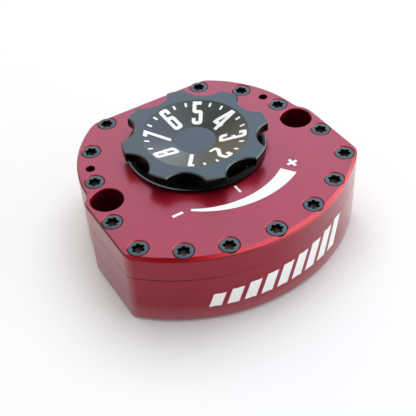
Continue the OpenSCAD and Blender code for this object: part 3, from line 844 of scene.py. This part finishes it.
def rounded(path: Sequence[Point], radius: float) -> Outline:
    """Round the inner corners of a path.

    Args:
        path: Corners of the path; a corner that is given twice stays sharp.
        radius: How far from a corner its rounding may start.

    Returns:
        The points of the rounded path.
    """
    made: Outline = [path[0]]
    for before, here, after in zip(path, path[1:], path[2:]):
        a, b, c = Vector(before), Vector(here), Vector(after)
        into, out = (a - b), (c - b)
        reach = min(radius, into.length / 2, out.length / 2)
        start, end = b + into.normalized() * reach, b + out.normalized() * reach
        for n in range(CORNER_STEPS + 1):
            t = n / CORNER_STEPS
            made.append(tuple(start.lerp(b, t).lerp(b.lerp(end, t), t)))
    made.append(path[-1])
    return [made[0]] + [here for before, here in zip(made, made[1:]) if math.dist(before, here) > SAME_POINT]


def fill_outlines(
    outlines: Sequence[Outline], step: float, join: float
) -> tuple[Sequence[Vector], list[Sequence[int]]]:
    """Divide the area that outlines cover into small cells.

    Args:
        outlines: Convex areas, counter-clockwise, which may overlap.
        step: Spacing of the points inside them.
        join: Distance within which two points become one.

    Returns:
        The points, and for each cell the numbers of its points.
    """
    corners = [Vector(p) for outline in outlines for p in outline]
    faces, first = [], 0
    for outline in outlines:
        faces.append(list(range(first, first + len(outline))))
        first += len(outline)
    low = [min(p[k] for p in corners) for k in range(2)]
    counts = [int((max(p[k] for p in corners) - low[k]) / step) + 1 for k in range(2)]
    grid = [
        Vector((low[0] + (i + GRID_SHIFT[0]) * step, low[1] + (j + GRID_SHIFT[1]) * step))
        for i in range(counts[0])
        for j in range(counts[1])
    ]
    points, _, cells, *_ = delaunay_2d_cdt(corners + grid, [], faces, 0, join)
    middles = np.array([[sum(points[i][k] for i in cell) / len(cell) for k in range(2)] for cell in cells])
    filled = np.zeros(len(cells), bool)
    for outline in outlines:
        here = np.array(outline)
        along = np.roll(here, -1, axis=0) - here
        off = middles[:, None, :] - here[None, :, :]
        filled |= (along[:, 0] * off[:, :, 1] - along[:, 1] * off[:, :, 0] >= 0).all(axis=1)
    return points, [cell for cell, full in zip(cells, filled) if full]


def raised_mark(outlines: Sequence[Outline], place: Placer, film: float, step: float) -> bpy.types.Mesh:
    """Make a printed mark as a thin closed film on a surface.

    Args:
        outlines: Convex areas that the mark covers, which may overlap, in the mark's plane.
        place: Gives the point on the surface for a place in the plane and a height over it.
        film: Thickness of the film over the surface; as much again is sunk in it.
        step: Spacing of the points that bend the film to the surface.

    Returns:
        A mesh of the film.
    """
    points, cells = fill_outlines(outlines, step, film * JOIN_SHARE)
    made = bmesh.new()
    top = [made.verts.new(place(p.x, p.y, film)) for p in points]
    base = [made.verts.new(place(p.x, p.y, -film)) for p in points]
    edges: list[tuple[int, int]] = []
    for cell in cells:
        made.faces.new([top[i] for i in cell])
        made.faces.new([base[i] for i in reversed(cell)])
        edges += zip(cell, [*cell[1:], cell[0]])
    known = set(edges)
    for a, b in edges:
        if (b, a) not in known:
            made.faces.new([top[b], top[a], base[a], base[b]])
    bmesh.ops.delete(made, geom=[v for v in made.verts if not v.link_faces], context="VERTS")
    mesh = close_form("mark", made)
    mesh.materials.append(INK.material())
    return mesh


def laid_flat(x: float, y: float, lift: float) -> Vector:
    """Return a place on the ground plane, for a mark that is bent later."""
    return Vector((x, y, lift)) * MM


class NodeForm(Graph):
    """A Geometry Nodes tree with named inputs, run once into a plain mesh."""

    def __init__(self, name: str) -> None:
        """Start a tree that takes and gives a geometry.

        Args:
            name: Name of the tree.
        """
        super().__init__(bpy.data.node_groups.new(name, "GeometryNodeTree"))
        for way in ("INPUT", "OUTPUT"):
            self.tree.interface.new_socket("Geometry", in_out=way, socket_type="NodeSocketGeometry")
        self.values: dict[str, Any] = {}
        self.entry = self.add("NodeGroupInput")

    def start(self) -> Wire:
        """Return the geometry that the tree is run on."""
        return Wire(self, self.entry.outputs[0])

    def size(self, name: str, kind: str, value: Any) -> Wire:
        """Add a named input.

        Args:
            name: Name of the input.
            kind: Type of its socket, such as Float.
            value: What it is set to when the tree is run.

        Returns:
            The input, inside the tree.
        """
        item = self.tree.interface.new_socket(name, in_out="INPUT", socket_type=f"NodeSocket{kind}")
        self.values[item.identifier] = value
        return Wire(self, self.pick(self.entry.outputs, item.identifier))

    def shape(self, name: str, mesh: bpy.types.Mesh) -> Wire:
        """Bring in a mesh through a named input.

        Args:
            name: Name of the input.
            mesh: The mesh, put on an object that only this tree uses.

        Returns:
            Its geometry.
        """
        blank = bpy.data.objects.new(f"{name.lower()}_blank", mesh)
        feeds = {"Object": self.size(name, "Object", blank)}
        return self.node("GeometryNodeObjectInfo", feeds, out="Geometry")

    def on_points(self, shape: Wire, turn: Feed = 0.0) -> Wire:
        """Set a shape on each point of the start mesh.

        Args:
            shape: Geometry of the shape.
            turn: Angle about the vertical, in radians.

        Returns:
            The instances.
        """
        points = self.node("GeometryNodeMeshToPoints", {"Mesh": self.start()})
        spin = self.node("ShaderNodeCombineXYZ", {"Z": turn})
        feeds = {"Points": points, "Instance": shape, "Rotation": spin}
        return self.node("GeometryNodeInstanceOnPoints", feeds)

    def finish(self, geometry: Wire, finish: Finish) -> None:
        """End the tree by making instances real and giving them a finish.

        Args:
            geometry: What the tree has made.
            finish: Its finish.
        """
        real = self.node("GeometryNodeRealizeInstances", {0: geometry})
        material = self.size("Finish", "Material", finish.material())
        painted = self.node("GeometryNodeSetMaterial", {"Geometry": real, "Material": material})
        self.add("NodeGroupOutput", {0: painted})

    def run(self, start: bpy.types.Mesh) -> bpy.types.Mesh:
        """Run the tree.

        Args:
            start: Mesh that it starts from.

        Returns:
            The result as a plain mesh.
        """
        holder = bpy.data.objects.new("holder", start)
        bpy.context.scene.collection.objects.link(holder)
        modifier = holder.modifiers.new("form", "NODES")
        modifier.node_group = self.tree
        for identifier, value in self.values.items():
            modifier[identifier] = value
        graph = bpy.context.evaluated_depsgraph_get()
        made = bpy.data.meshes.new_from_object(holder.evaluated_get(graph), depsgraph=graph)
        bpy.data.objects.remove(holder)
        return made


def point_cloud(places: Sequence[Vector]) -> bpy.types.Mesh:
    """Make a mesh of loose points.

    Args:
        places: The points, in metres.

    Returns:
        The mesh.
    """
    mesh = bpy.data.meshes.new("places")
    mesh.from_pydata([tuple(p) for p in places], [], [])
    return mesh


class SubAssembly:
    """Pieces that belong together; sizes are in millimetres and degrees."""

    def dress(self) -> None:
        """Give the group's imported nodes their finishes, apart from nodes that are replaced."""

    def build(self) -> None:
        """Make the pieces that the group adds, where it has any."""


@dataclass
class CoverScrews(SubAssembly):
    """Fifteen low-head screws with a six-lobed drive, round the cover.

    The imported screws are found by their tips: corners within tip_search of the lowest height, and
    tips_apart or more from each other. Corners within screw_search of a tip belong to its screw.
    """

    seat_z: float = 28.25
    head_r: float = 3.47
    head_h: float = 2.6
    edge: float = 0.25
    edge_steps: int = 5
    shank_r: float = 2.0
    shank_l: float = 18.0
    tip_share: float = 0.7
    tip_search: float = 0.1
    tips_apart: float = 5.0
    screw_search: float = 6.0
    drive_d: float = 4.4
    drive_depth: float = 1.4
    drive_edge: float = 0.12
    lobes: int = 6
    lobe_share: float = 1 / 7
    core_share: float = 0.37
    floor_share: float = 0.18
    floor_drop: float = 0.25
    steps: int = 72
    seed: int = 7

    def sites(self) -> list[Vector]:
        """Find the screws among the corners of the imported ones.

        Returns:
            The middle of each screw under its head, in metres.
        """
        corners = [vertex.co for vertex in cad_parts["cover_screws"].data.vertices]
        lowest = (self.seat_z - self.shank_l + self.tip_search) * MM
        tips: list[Vector] = []
        for tip in (corner.xy for corner in corners if corner.z < lowest):
            if all((other - tip).length >= self.tips_apart * MM for other in tips):
                tips.append(tip)
        places = []
        for tip in tips:
            near = [corner for corner in corners if (corner.xy - tip).length < self.screw_search * MM]
            xs, ys = [p.x for p in near], [p.y for p in near]
            places.append(Vector(((min(xs) + max(xs)) / 2, (min(ys) + max(ys)) / 2, self.seat_z * MM)))
        return places

    def drive_outline(self, grow: float) -> list[Point]:
        """Draw the drive.

        Args:
            grow: How far the outline stands outside the drive's own.

        Returns:
            The outline's points.
        """
        lobe = self.drive_d * self.lobe_share
        reach = self.drive_d / 2 - lobe
        pitch = 2 * math.pi / self.lobes
        outline = []
        for n in range(self.steps):
            angle = 2 * math.pi * n / self.steps
            off = (angle + pitch / 2) % pitch - pitch / 2
            inside = (lobe + grow) ** 2 - (reach * math.sin(off)) ** 2
            outer = reach * math.cos(off) + math.sqrt(inside) if inside > 0 else 0.0
            radius = max(self.drive_d * self.core_share + grow, outer)
            outline.append((radius * math.cos(angle), radius * math.sin(angle)))
        return outline

    def ring(self, radius: float) -> list[Point]:
        """Return a circle with as many corners as the drive's outline."""
        turns = [2 * math.pi * n / self.steps for n in range(self.steps)]
        return [(radius * math.cos(t), radius * math.sin(t)) for t in turns]

    def blank(self) -> bpy.types.Mesh:
        """Loft one screw with a rounded head edge, a drive recess and a pointed shank end.

        Returns:
            The screw's mesh, with the underside of its head at the origin.
        """
        tip = self.shank_r * (1 - self.tip_share)
        loops: list[tuple[list[Point], float]] = [
            (self.ring(self.shank_r * self.tip_share), -self.shank_l),
            (self.ring(self.shank_r), -self.shank_l + tip),
            (self.ring(self.shank_r), 0.0),
            (self.ring(self.head_r), 0.0),
        ]
        for n in range(self.edge_steps + 1):
            turn = math.pi / 2 * n / self.edge_steps
            radius = self.head_r - self.edge * (1 - math.cos(turn))
            loops.append((self.ring(radius), self.head_h - self.edge * (1 - math.sin(turn))))
        floor = self.head_h - self.drive_depth
        loops += [
            (self.drive_outline(self.drive_edge), self.head_h),
            (self.drive_outline(0.0), self.head_h - self.drive_edge),
            (self.drive_outline(0.0), floor),
            (self.ring(self.drive_d * self.floor_share), floor - self.floor_drop),
        ]
        form = bmesh.new()
        rows = [[form.verts.new((x * MM, y * MM, z * MM)) for x, y in loop] for loop, z in loops]
        for low, high in zip(rows, rows[1:]):
            for n in range(self.steps):
                m = (n + 1) % self.steps
                form.faces.new((low[n], low[m], high[m], high[n]))
        form.faces.new(list(reversed(rows[0])))
        form.faces.new(rows[-1])
        return close_form("cover_screw", form)

    def build(self) -> None:
        """Set a screw in each site, each turned by its own angle."""
        form = NodeForm("screws_on_sites")
        most = form.size("Turn", "Float", 2 * math.pi / self.lobes)
        seed = form.size("Seed", "Int", self.seed)
        turn = form.node("FunctionNodeRandomValue", {"Max": most, "Seed": seed}, {"data_type": "FLOAT"}, 1)
        form.finish(form.on_points(form.shape("Screw", self.blank()), turn), OXIDE)
        piece = add_piece("cover_screw_set", form.run(point_cloud(self.sites())), Body.HOUSING)
        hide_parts("cover_screws")


@dataclass
class Housing(SubAssembly):
    """Body, cover and the white marks printed on them."""

    top_z: float = 31.0
    film: float = 0.02
    mark_step: float = 1.5
    index_y: Span = (-26.0, -29.8)
    index_w: float = 0.8
    wedge_r: float = 33.0
    wedge_thin: float = 1.0
    wedge_thick: float = 6.0
    wedge_half: float = 34.0
    wedge_steps: int = 48
    sign_half: float = 2.0
    sign_w: float = 1.1
    sign_turn: float = 41.0
    wall_r: float = 65.2
    wall_y: float = 10.3
    bars: int = 9
    bar_first: float = -27.0
    bar_pitch: float = 6.2
    bar_w: float = 4.3
    bar_low: float = 6.8
    bar_h: Span = (6.0, 12.8)
    bar_lean: float = 0.32
    bar_step: float = 1.0

    def dress(self) -> None:
        """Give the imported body, cover, dowels and seal their finishes."""
        dress(RED, "main_body", "top_cover")
        dress(STEEL, "locating_dowels")
        dress(RUBBER, "cover_seal")

    def on_cover(self, x: float, y: float, lift: float) -> Vector:
        """Return a place on the cover's top."""
        return Vector((x, y, self.top_z + lift)) * MM

    def mark(self, name: str, outlines: Sequence[Outline]) -> None:
        """Print one white mark on the cover."""
        add_piece(name, raised_mark(outlines, self.on_cover, self.film, self.mark_step), Body.HOUSING)

    def arc(self, first_r: float, last_r: float) -> Outline:
        """Draw an arc in front of the knob, from left to right.

        Args:
            first_r: Radius at its left end.
            last_r: Radius at its right end.

        Returns:
            Points along the arc.
        """
        made = []
        for n in range(self.wedge_steps + 1):
            share = n / self.wedge_steps
            angle = math.radians(-90 - self.wedge_half + 2 * self.wedge_half * share)
            radius = first_r + (last_r - first_r) * share
            made.append((radius * math.cos(angle), radius * math.sin(angle)))
        return made

    def build(self) -> None:
        """Print the index line, the wedge that shows which way the damping grows, and the bars."""
        near, far = self.index_y
        half = self.index_w / 2
        self.mark("index_mark", [[(-half, far), (half, far), (half, near), (-half, near)]])
        inner = self.arc(self.wedge_r, self.wedge_r)
        outer = self.arc(self.wedge_r + self.wedge_thin, self.wedge_r + self.wedge_thick)
        parts = range(self.wedge_steps)
        self.mark("damping_wedge", [[outer[n], outer[n + 1], inner[n + 1], inner[n]] for n in parts])
        for name, side in (("less_sign", -1), ("more_sign", 1)):
            angle = math.radians(-90 + side * self.sign_turn)
            mid = self.wedge_r + self.wedge_thick / 2
            x, y, s = mid * math.cos(angle), mid * math.sin(angle), self.sign_half
            bars = stroke([(x - s, y), (x + s, y)], self.sign_w)
            if side > 0:
                bars += stroke([(x, y - s), (x, y + s)], self.sign_w)
            self.mark(name, bars)
        self.wall_bars()

    def wall_bars(self) -> None:
        """Print slanted bars of rising height on the front wall, laid flat and then bent to it."""
        shapes: list[Outline] = []
        for n in range(self.bars):
            left = self.bar_first + n * self.bar_pitch
            tall = self.bar_h[0] + (self.bar_h[1] - self.bar_h[0]) * n / (self.bars - 1)
            right, lean = left + self.bar_w, self.bar_lean * tall
            low, high = self.bar_low, self.bar_low + tall
            shapes.append([(left, low), (right, low), (right + lean, high), (left + lean, high)])
        form = NodeForm("bars_on_wall")
        radius = form.size("Wall radius", "Float", self.wall_r * MM)
        middle = form.size("Wall middle", "Float", self.wall_y * MM)
        x, y, lift = form.axes(form.node("GeometryNodeInputPosition"))
        turn = x / radius
        reach = radius + lift
        across = reach * form.maths("SINE", turn)
        along = middle - reach * form.maths("COSINE", turn)
        bent = form.node("ShaderNodeCombineXYZ", {"X": across, "Y": along, "Z": y})
        moved = form.node("GeometryNodeSetPosition", {"Geometry": form.start(), "Position": bent})
        form.finish(moved, INK)
        flat = raised_mark(shapes, laid_flat, self.film, self.bar_step)
        add_piece("wall_bars", form.run(flat), Body.HOUSING)


# Strokes of the dial's numbers in a box of 1 by 1.
GLYPHS: Mapping[int, Sequence[Outline]] = {
    1: [[(0.1, 1.0), (0.6, 1.0)], [(0.74, 1.08), (0.74, -0.06)]],
    2: [[(0.0, 0.72), (0.0, 1.0), (1.0, 1.0), (1.0, 0.62), (0.0, 0.2), (0.0, 0.0), (1.0, 0.0)]],
    3: [
        [(0.0, 0.76), (0.0, 1.0), (1.0, 1.0), (1.0, 0.52), (0.4, 0.52)],
        [(0.4, 0.52), (1.0, 0.52), (1.0, 0.0), (0.0, 0.0), (0.0, 0.26)],
    ],
    4: [
        [(0.84, -0.08), (0.84, 1.08)],
        [(0.62, 1.06), (-0.16, 0.32), (-0.16, 0.24), (-0.16, 0.24), (1.28, 0.24)],
    ],
    5: [
        [(1.06, 1.0), (0.0, 1.0), (0.0, 1.0), (0.0, 0.56), (1.0, 0.56), (1.0, 0.0), (0.0, 0.0), (0.0, 0.24)],
    ],
    6: [[(1.0, 0.76), (1.0, 1.0), (0.0, 1.0), (0.0, 0.0), (1.0, 0.0), (1.0, 0.56), (0.0, 0.56)]],
    7: [[(-0.28, 1.0), (0.78, 1.0), (0.78, 1.0), (0.22, -0.06)]],
    8: [
        [(0.5, 0.52), (0.0, 0.52), (0.0, 0.0), (1.0, 0.0), (1.0, 0.52), (0.5, 0.52)],
        [(0.5, 0.52), (0.06, 0.52), (0.06, 1.0), (0.94, 1.0), (0.94, 0.52), (0.5, 0.52)],
    ],
}


@dataclass
class DialKnob(SubAssembly):
    """Scalloped knob with numbers and ticks inside its hollow dial."""

    dial_r: float = 19.5
    cap_r: float = 7.5
    top_z: float = 38.0
    floor_z: float = 34.4
    first: float = -125.0
    step: float = 45.0
    clicks: int = 3
    film: float = 0.02
    digit_base: float = 8.6
    digit_h: float = 10.1
    digit_w: float = 3.95
    digit_step: float = 0.5
    line: float = 1.45
    corner: float = 0.65
    tick: Span = (16.65, 18.45)
    tick_w: float = 0.85
    tick_step: float = 0.4

    def dress(self) -> None:
        """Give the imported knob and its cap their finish."""
        dress(BLACK, "adjuster_knob", "dial_cap")

    def on_dial(self, x: float, y: float, lift: float) -> Vector:
        """Find a place on the dial's cone, or on the flat round it.

        Args:
            x: Place to the right of the knob's axis.
            y: Place behind it.
            lift: Height over the surface.

        Returns:
            The place in metres.
        """
        slope = (self.top_z - self.floor_z) / (self.dial_r - self.cap_r)
        radius = min(max(math.hypot(x, y), self.cap_r), self.dial_r)
        return Vector((x, y, self.floor_z + (radius - self.cap_r) * slope + lift)) * MM

    def number(self, digit: int) -> None:
        """Print one number, with its top outwards.

        Args:
            digit: The number.
        """
        turn = math.radians(self.first + self.step * (digit - 1))
        wide, tall = self.digit_w - self.line, self.digit_h - self.line
        outlines: list[Outline] = []
        for path in GLYPHS[digit]:
            sized = [((x - 0.5) * wide, self.digit_base + self.line / 2 + y * tall) for x, y in path]
            outlines += stroke(rounded(sized, self.corner), self.line)

        def place(x: float, y: float, lift: float) -> Vector:
            """Turn the number to its angle and lay it on the cone."""
            cos, sin = math.cos(turn), math.sin(turn)
            return self.on_dial(y * cos + x * sin, y * sin - x * cos, lift)

        mesh = raised_mark(outlines, place, self.film, self.digit_step)
        add_piece(f"dial_number_{digit}", mesh, Body.ADJUSTER)

    def ticks(self) -> None:
        """Print a tick for each click between neighbouring numbers."""
        near, far = self.tick
        outlines = stroke([(near, 0.0), (far, 0.0)], self.tick_w)
        form = NodeForm("ticks_round_dial")
        shape = form.shape("Tick", raised_mark(outlines, self.on_dial, self.film, self.tick_step))
        gaps = form.size("Ticks in a gap", "Int", self.clicks - 1)
        step = form.size("Step", "Float", math.radians(self.step))
        first = form.size("First", "Float", math.radians(self.first))
        index = form.node("GeometryNodeInputIndex")
        gap = form.maths("FLOOR", index / gaps)
        part = (index % gaps + 1.0) / (gaps + 1.0)
        form.finish(form.on_points(shape, first + step * (gap + part)), INK)
        count = (len(GLYPHS) - 1) * (self.clicks - 1)
        add_piece("dial_ticks", form.run(point_cloud([Vector((0, 0, 0))] * count)), Body.ADJUSTER)

    def build(self) -> None:
        """Print all the numbers and ticks."""
        for digit in GLYPHS:
            self.number(digit)
        self.ticks()


@dataclass
class ClickGear(SubAssembly):
    """Balls, springs and the stop pin under the knob."""

    circle_r: float = 15.0
    wire_d: float = 0.4
    wire_steps: int = 12
    coil_r: float = 1.1
    coil_steps: int = 32
    turns: float = 3.5
    low_z: float = 25.05
    high_z: float = 28.433

    def dress(self) -> None:
        """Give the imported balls, pin and clip their finish."""
        dress(STEEL, "click_balls", "stop_pin", "knob_clip")

    def build(self) -> None:
        """Wind a smooth spring under each ball."""
        form = NodeForm("springs_under_balls")
        coil_r = form.size("Coil radius", "Float", self.coil_r * MM)
        coil = form.node(
            "GeometryNodeCurveSpiral",
            {
                "Resolution": self.coil_steps,
                "Rotations": form.size("Turns", "Float", self.turns),
                "Start Radius": coil_r,
                "End Radius": coil_r,
                "Height": form.size("Height", "Float", (self.high_z - self.low_z) * MM),
            },
        )
        wire_r = form.size("Wire radius", "Float", self.wire_d / 2 * MM)
        section = {"Resolution": self.wire_steps, "Radius": wire_r}
        wire = form.node("GeometryNodeCurvePrimitiveCircle", section)
        sweep = {"Curve": coil, "Profile Curve": wire, "Fill Caps": True}
        form.finish(form.on_points(form.node("GeometryNodeCurveToMesh", sweep)), STEEL)
        places = [Vector((side * self.circle_r, 0, self.low_z)) * MM for side in (-1, 1)]
        mesh = form.run(point_cloud(places))
        smooth_mesh(mesh)
        piece = add_piece("click_spring_pair", mesh, Body.HOUSING)
        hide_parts("click_springs")


@dataclass
class ShaftGear(SubAssembly):
    """Rotor, bearings, seals, plugs and valve, mostly inside the housing."""

    def dress(self) -> None:
        """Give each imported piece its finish."""
        dress(STEEL, "rotor_shaft", "seal_retaining_ring", "oil_plugs")
        dress(BRONZE, "upper_bush", "lower_bush", "upper_thrust_washer", "lower_thrust_washer")
        dress(BRASS, "oil_plug_washers", "valve_gland", "valve_needle")
        dress(RUBBER, "shaft_seal", "stem_seal", "vane_seal")


@dataclass(frozen=True)
class PaleFloor(Finish):
    """White sweep that keeps a soft shadow, and glows a little to the camera and in reflections."""

    tone: Colour = (0.93, 0.93, 0.93)
    own_light: float = 0.05
    rays: tuple[str, ...] = ("Is Camera Ray", "Is Glossy Ray", "Is Transmission Ray")

    def shade(self, graph: ShaderGraph) -> Wire:
        """Lay white paper with a little light of its own.

        Args:
            graph: Tree of the material.

        Returns:
            The shader.
        """
        paper = graph.node("ShaderNodeBsdfDiffuse", {"Color": self.tone})
        glow = graph.node("ShaderNodeEmission", {"Color": WHITE, "Strength": 1.0})
        seen: Feed = 0.0
        for ray in self.rays:
            seen = seen + graph.node("ShaderNodeLightPath", out=ray)
        return graph.node("ShaderNodeMixShader", {0: seen * self.own_light, 1: paper, 2: glow})


def direction(bearing: float, height: float) -> Vector:
    """Return the unit vector at a bearing from +X and a height over the floor, both in degrees."""
    turn, rise = math.radians(bearing), math.radians(height)
    return Vector((math.cos(rise) * math.cos(turn), math.cos(rise) * math.sin(turn), math.sin(rise)))


@dataclass
class Lamp:
    """A soft box that points at the part, in metres and degrees.

    A mirrored box shows in gloss and lights nothing dull. Any other box lights what is dull, the floor
    too, and shows in no gloss.
    """

    name: str
    bearing: float
    height: float
    distance: float
    size: tuple[float, float]
    glow: float
    tint: Colour
    mirrored: bool = True
    aim_z: float = 0.02

    def build(self) -> None:
        """Hang the soft box and turn it to the part."""
        light = bpy.data.lights.new(self.name, "AREA")
        light.shape = "RECTANGLE"
        light.size, light.size_y = self.size
        light.energy = self.glow * math.pi * light.size * light.size_y
        light.color = self.tint
        lamp = bpy.data.objects.new(self.name, light)
        bpy.context.scene.collection.objects.link(lamp)
        lamp.visible_glossy = self.mirrored
        lamp.visible_diffuse = not self.mirrored
        lamp.location = direction(self.bearing, self.height) * self.distance
        aim = Vector((0.0, 0.0, self.aim_z)) - lamp.location
        lamp.rotation_euler = aim.to_track_quat("-Z", "Y").to_euler()


@dataclass
class Studio:
    """Floor, light and camera; places in metres, bearings and heights in degrees, the turn in radians."""

    focal_px: float = 860.76
    sensor_mm: float = 36.0
    clip: Span = (0.01, 20.0)
    eye: tuple[float, float, float] = (-0.117225, -0.215046, 0.230222)
    turn: tuple[float, float, float] = (0.815370, 0.046642, -0.555211)
    floor_half: float = 2.5
    sky: Colour = (0.44, 0.45, 0.47)
    wall: Colour = (1.10, 0.76, 0.14)
    wall_bearing: float = 92.0
    wall_height: float = 15.0
    wall_span: Span = (0.86, 0.97)
    dim: Colour = (0.06, 0.06, 0.065)
    dim_bearing: float = -105.0
    dim_height: float = 42.0
    dim_span: Span = (0.74, 0.92)
    lamps: tuple[Lamp, ...] = (
        Lamp("window", 36.0, 36.0, 1.5, (2.3, 1.2), 0.78, (0.86, 1.0, 1.64)),
        Lamp("low_window", 47.0, 15.0, 1.5, (0.8, 0.35), 1.4, (1.0, 0.98, 0.84)),
        Lamp("side_strip", -14.0, 22.0, 1.4, (0.7, 0.8), 2.2, WHITE),
        Lamp("high_box", 30.0, 68.0, 1.5, (0.6, 0.6), 0.8, WHITE),
        Lamp("front_strip", -68.0, 34.0, 1.4, (1.9, 0.6), 2.2, WHITE),
        Lamp("front_fill", -60.0, 9.0, 1.4, (2.2, 0.36), 3.5, WHITE, mirrored=False),
        Lamp("key", 44.0, 74.0, 1.4, (1.5, 1.5), 2.6, (0.97, 1.0, 1.02), mirrored=False),
    )

    def camera(self) -> None:
        """Set the camera where the photograph was taken from."""
        data = bpy.data.cameras.new("camera")
        data.sensor_width = self.sensor_mm
        data.lens = self.focal_px * self.sensor_mm / IMAGE_PX
        data.clip_start, data.clip_end = self.clip
        camera = bpy.data.objects.new("camera", data)
        bpy.context.scene.collection.objects.link(camera)
        camera.location = self.eye
        camera.rotation_euler = Euler(self.turn, "XYZ")
        bpy.context.scene.camera = camera

    def floor(self) -> None:
        """Lay the pale floor under the base."""
        half = self.floor_half
        corners = [(-half, -half, 0), (half, -half, 0), (half, half, 0), (-half, half, 0)]
        mesh = bpy.data.meshes.new("floor")
        mesh.from_pydata(corners, [], [(0, 1, 2, 3)])
        mesh.materials.append(PaleFloor("pale_floor").material())
        floor = bpy.data.objects.new("floor", mesh)
        bpy.context.scene.collection.objects.link(floor)

    def world(self) -> None:
        """Fill the room with soft light, warmer at the back wall and dim on the camera's side."""
        world = bpy.data.worlds.new("room")
        world.use_nodes = True
        graph = ShaderGraph(world.node_tree)
        way = graph.node("ShaderNodeTexCoord", out="Generated")

        def towards(bearing: float, height: float) -> Wire:
            """Return how closely a ray points at a bearing and height in degrees, up to 1."""
            feeds = {0: way, 1: direction(bearing, height)}
            return graph.node("ShaderNodeVectorMath", feeds, {"operation": "DOT_PRODUCT"}, "Value")

        at_wall = towards(self.wall_bearing, self.wall_height).above(self.wall_span)
        at_dim = towards(self.dim_bearing, self.dim_height).above(self.dim_span)
        tint = graph.mix(at_dim, graph.mix(at_wall, self.sky, self.wall), self.dim)
        graph.add("ShaderNodeOutputWorld", {"Surface": graph.node("ShaderNodeBackground", {"Color": tint})})
        bpy.context.scene.world = world

    def build(self) -> None:
        """Set up everything that isn't part of the object."""
        self.camera()
        self.floor()
        self.world()
        for lamp in self.lamps:
            lamp.build()
        bpy.context.scene.view_settings.view_transform = "Standard"


def main() -> None:
    """Set up the studio, then dress and build every sub-assembly."""
    logging.basicConfig(level=logging.INFO, format="%(name)s: %(message)s")
    Studio().build()
    for group in (Housing(), CoverScrews(), DialKnob(), ClickGear(), ShaftGear()):
        group.dress()
        group.build()


if __name__ == "__main__":
    main()
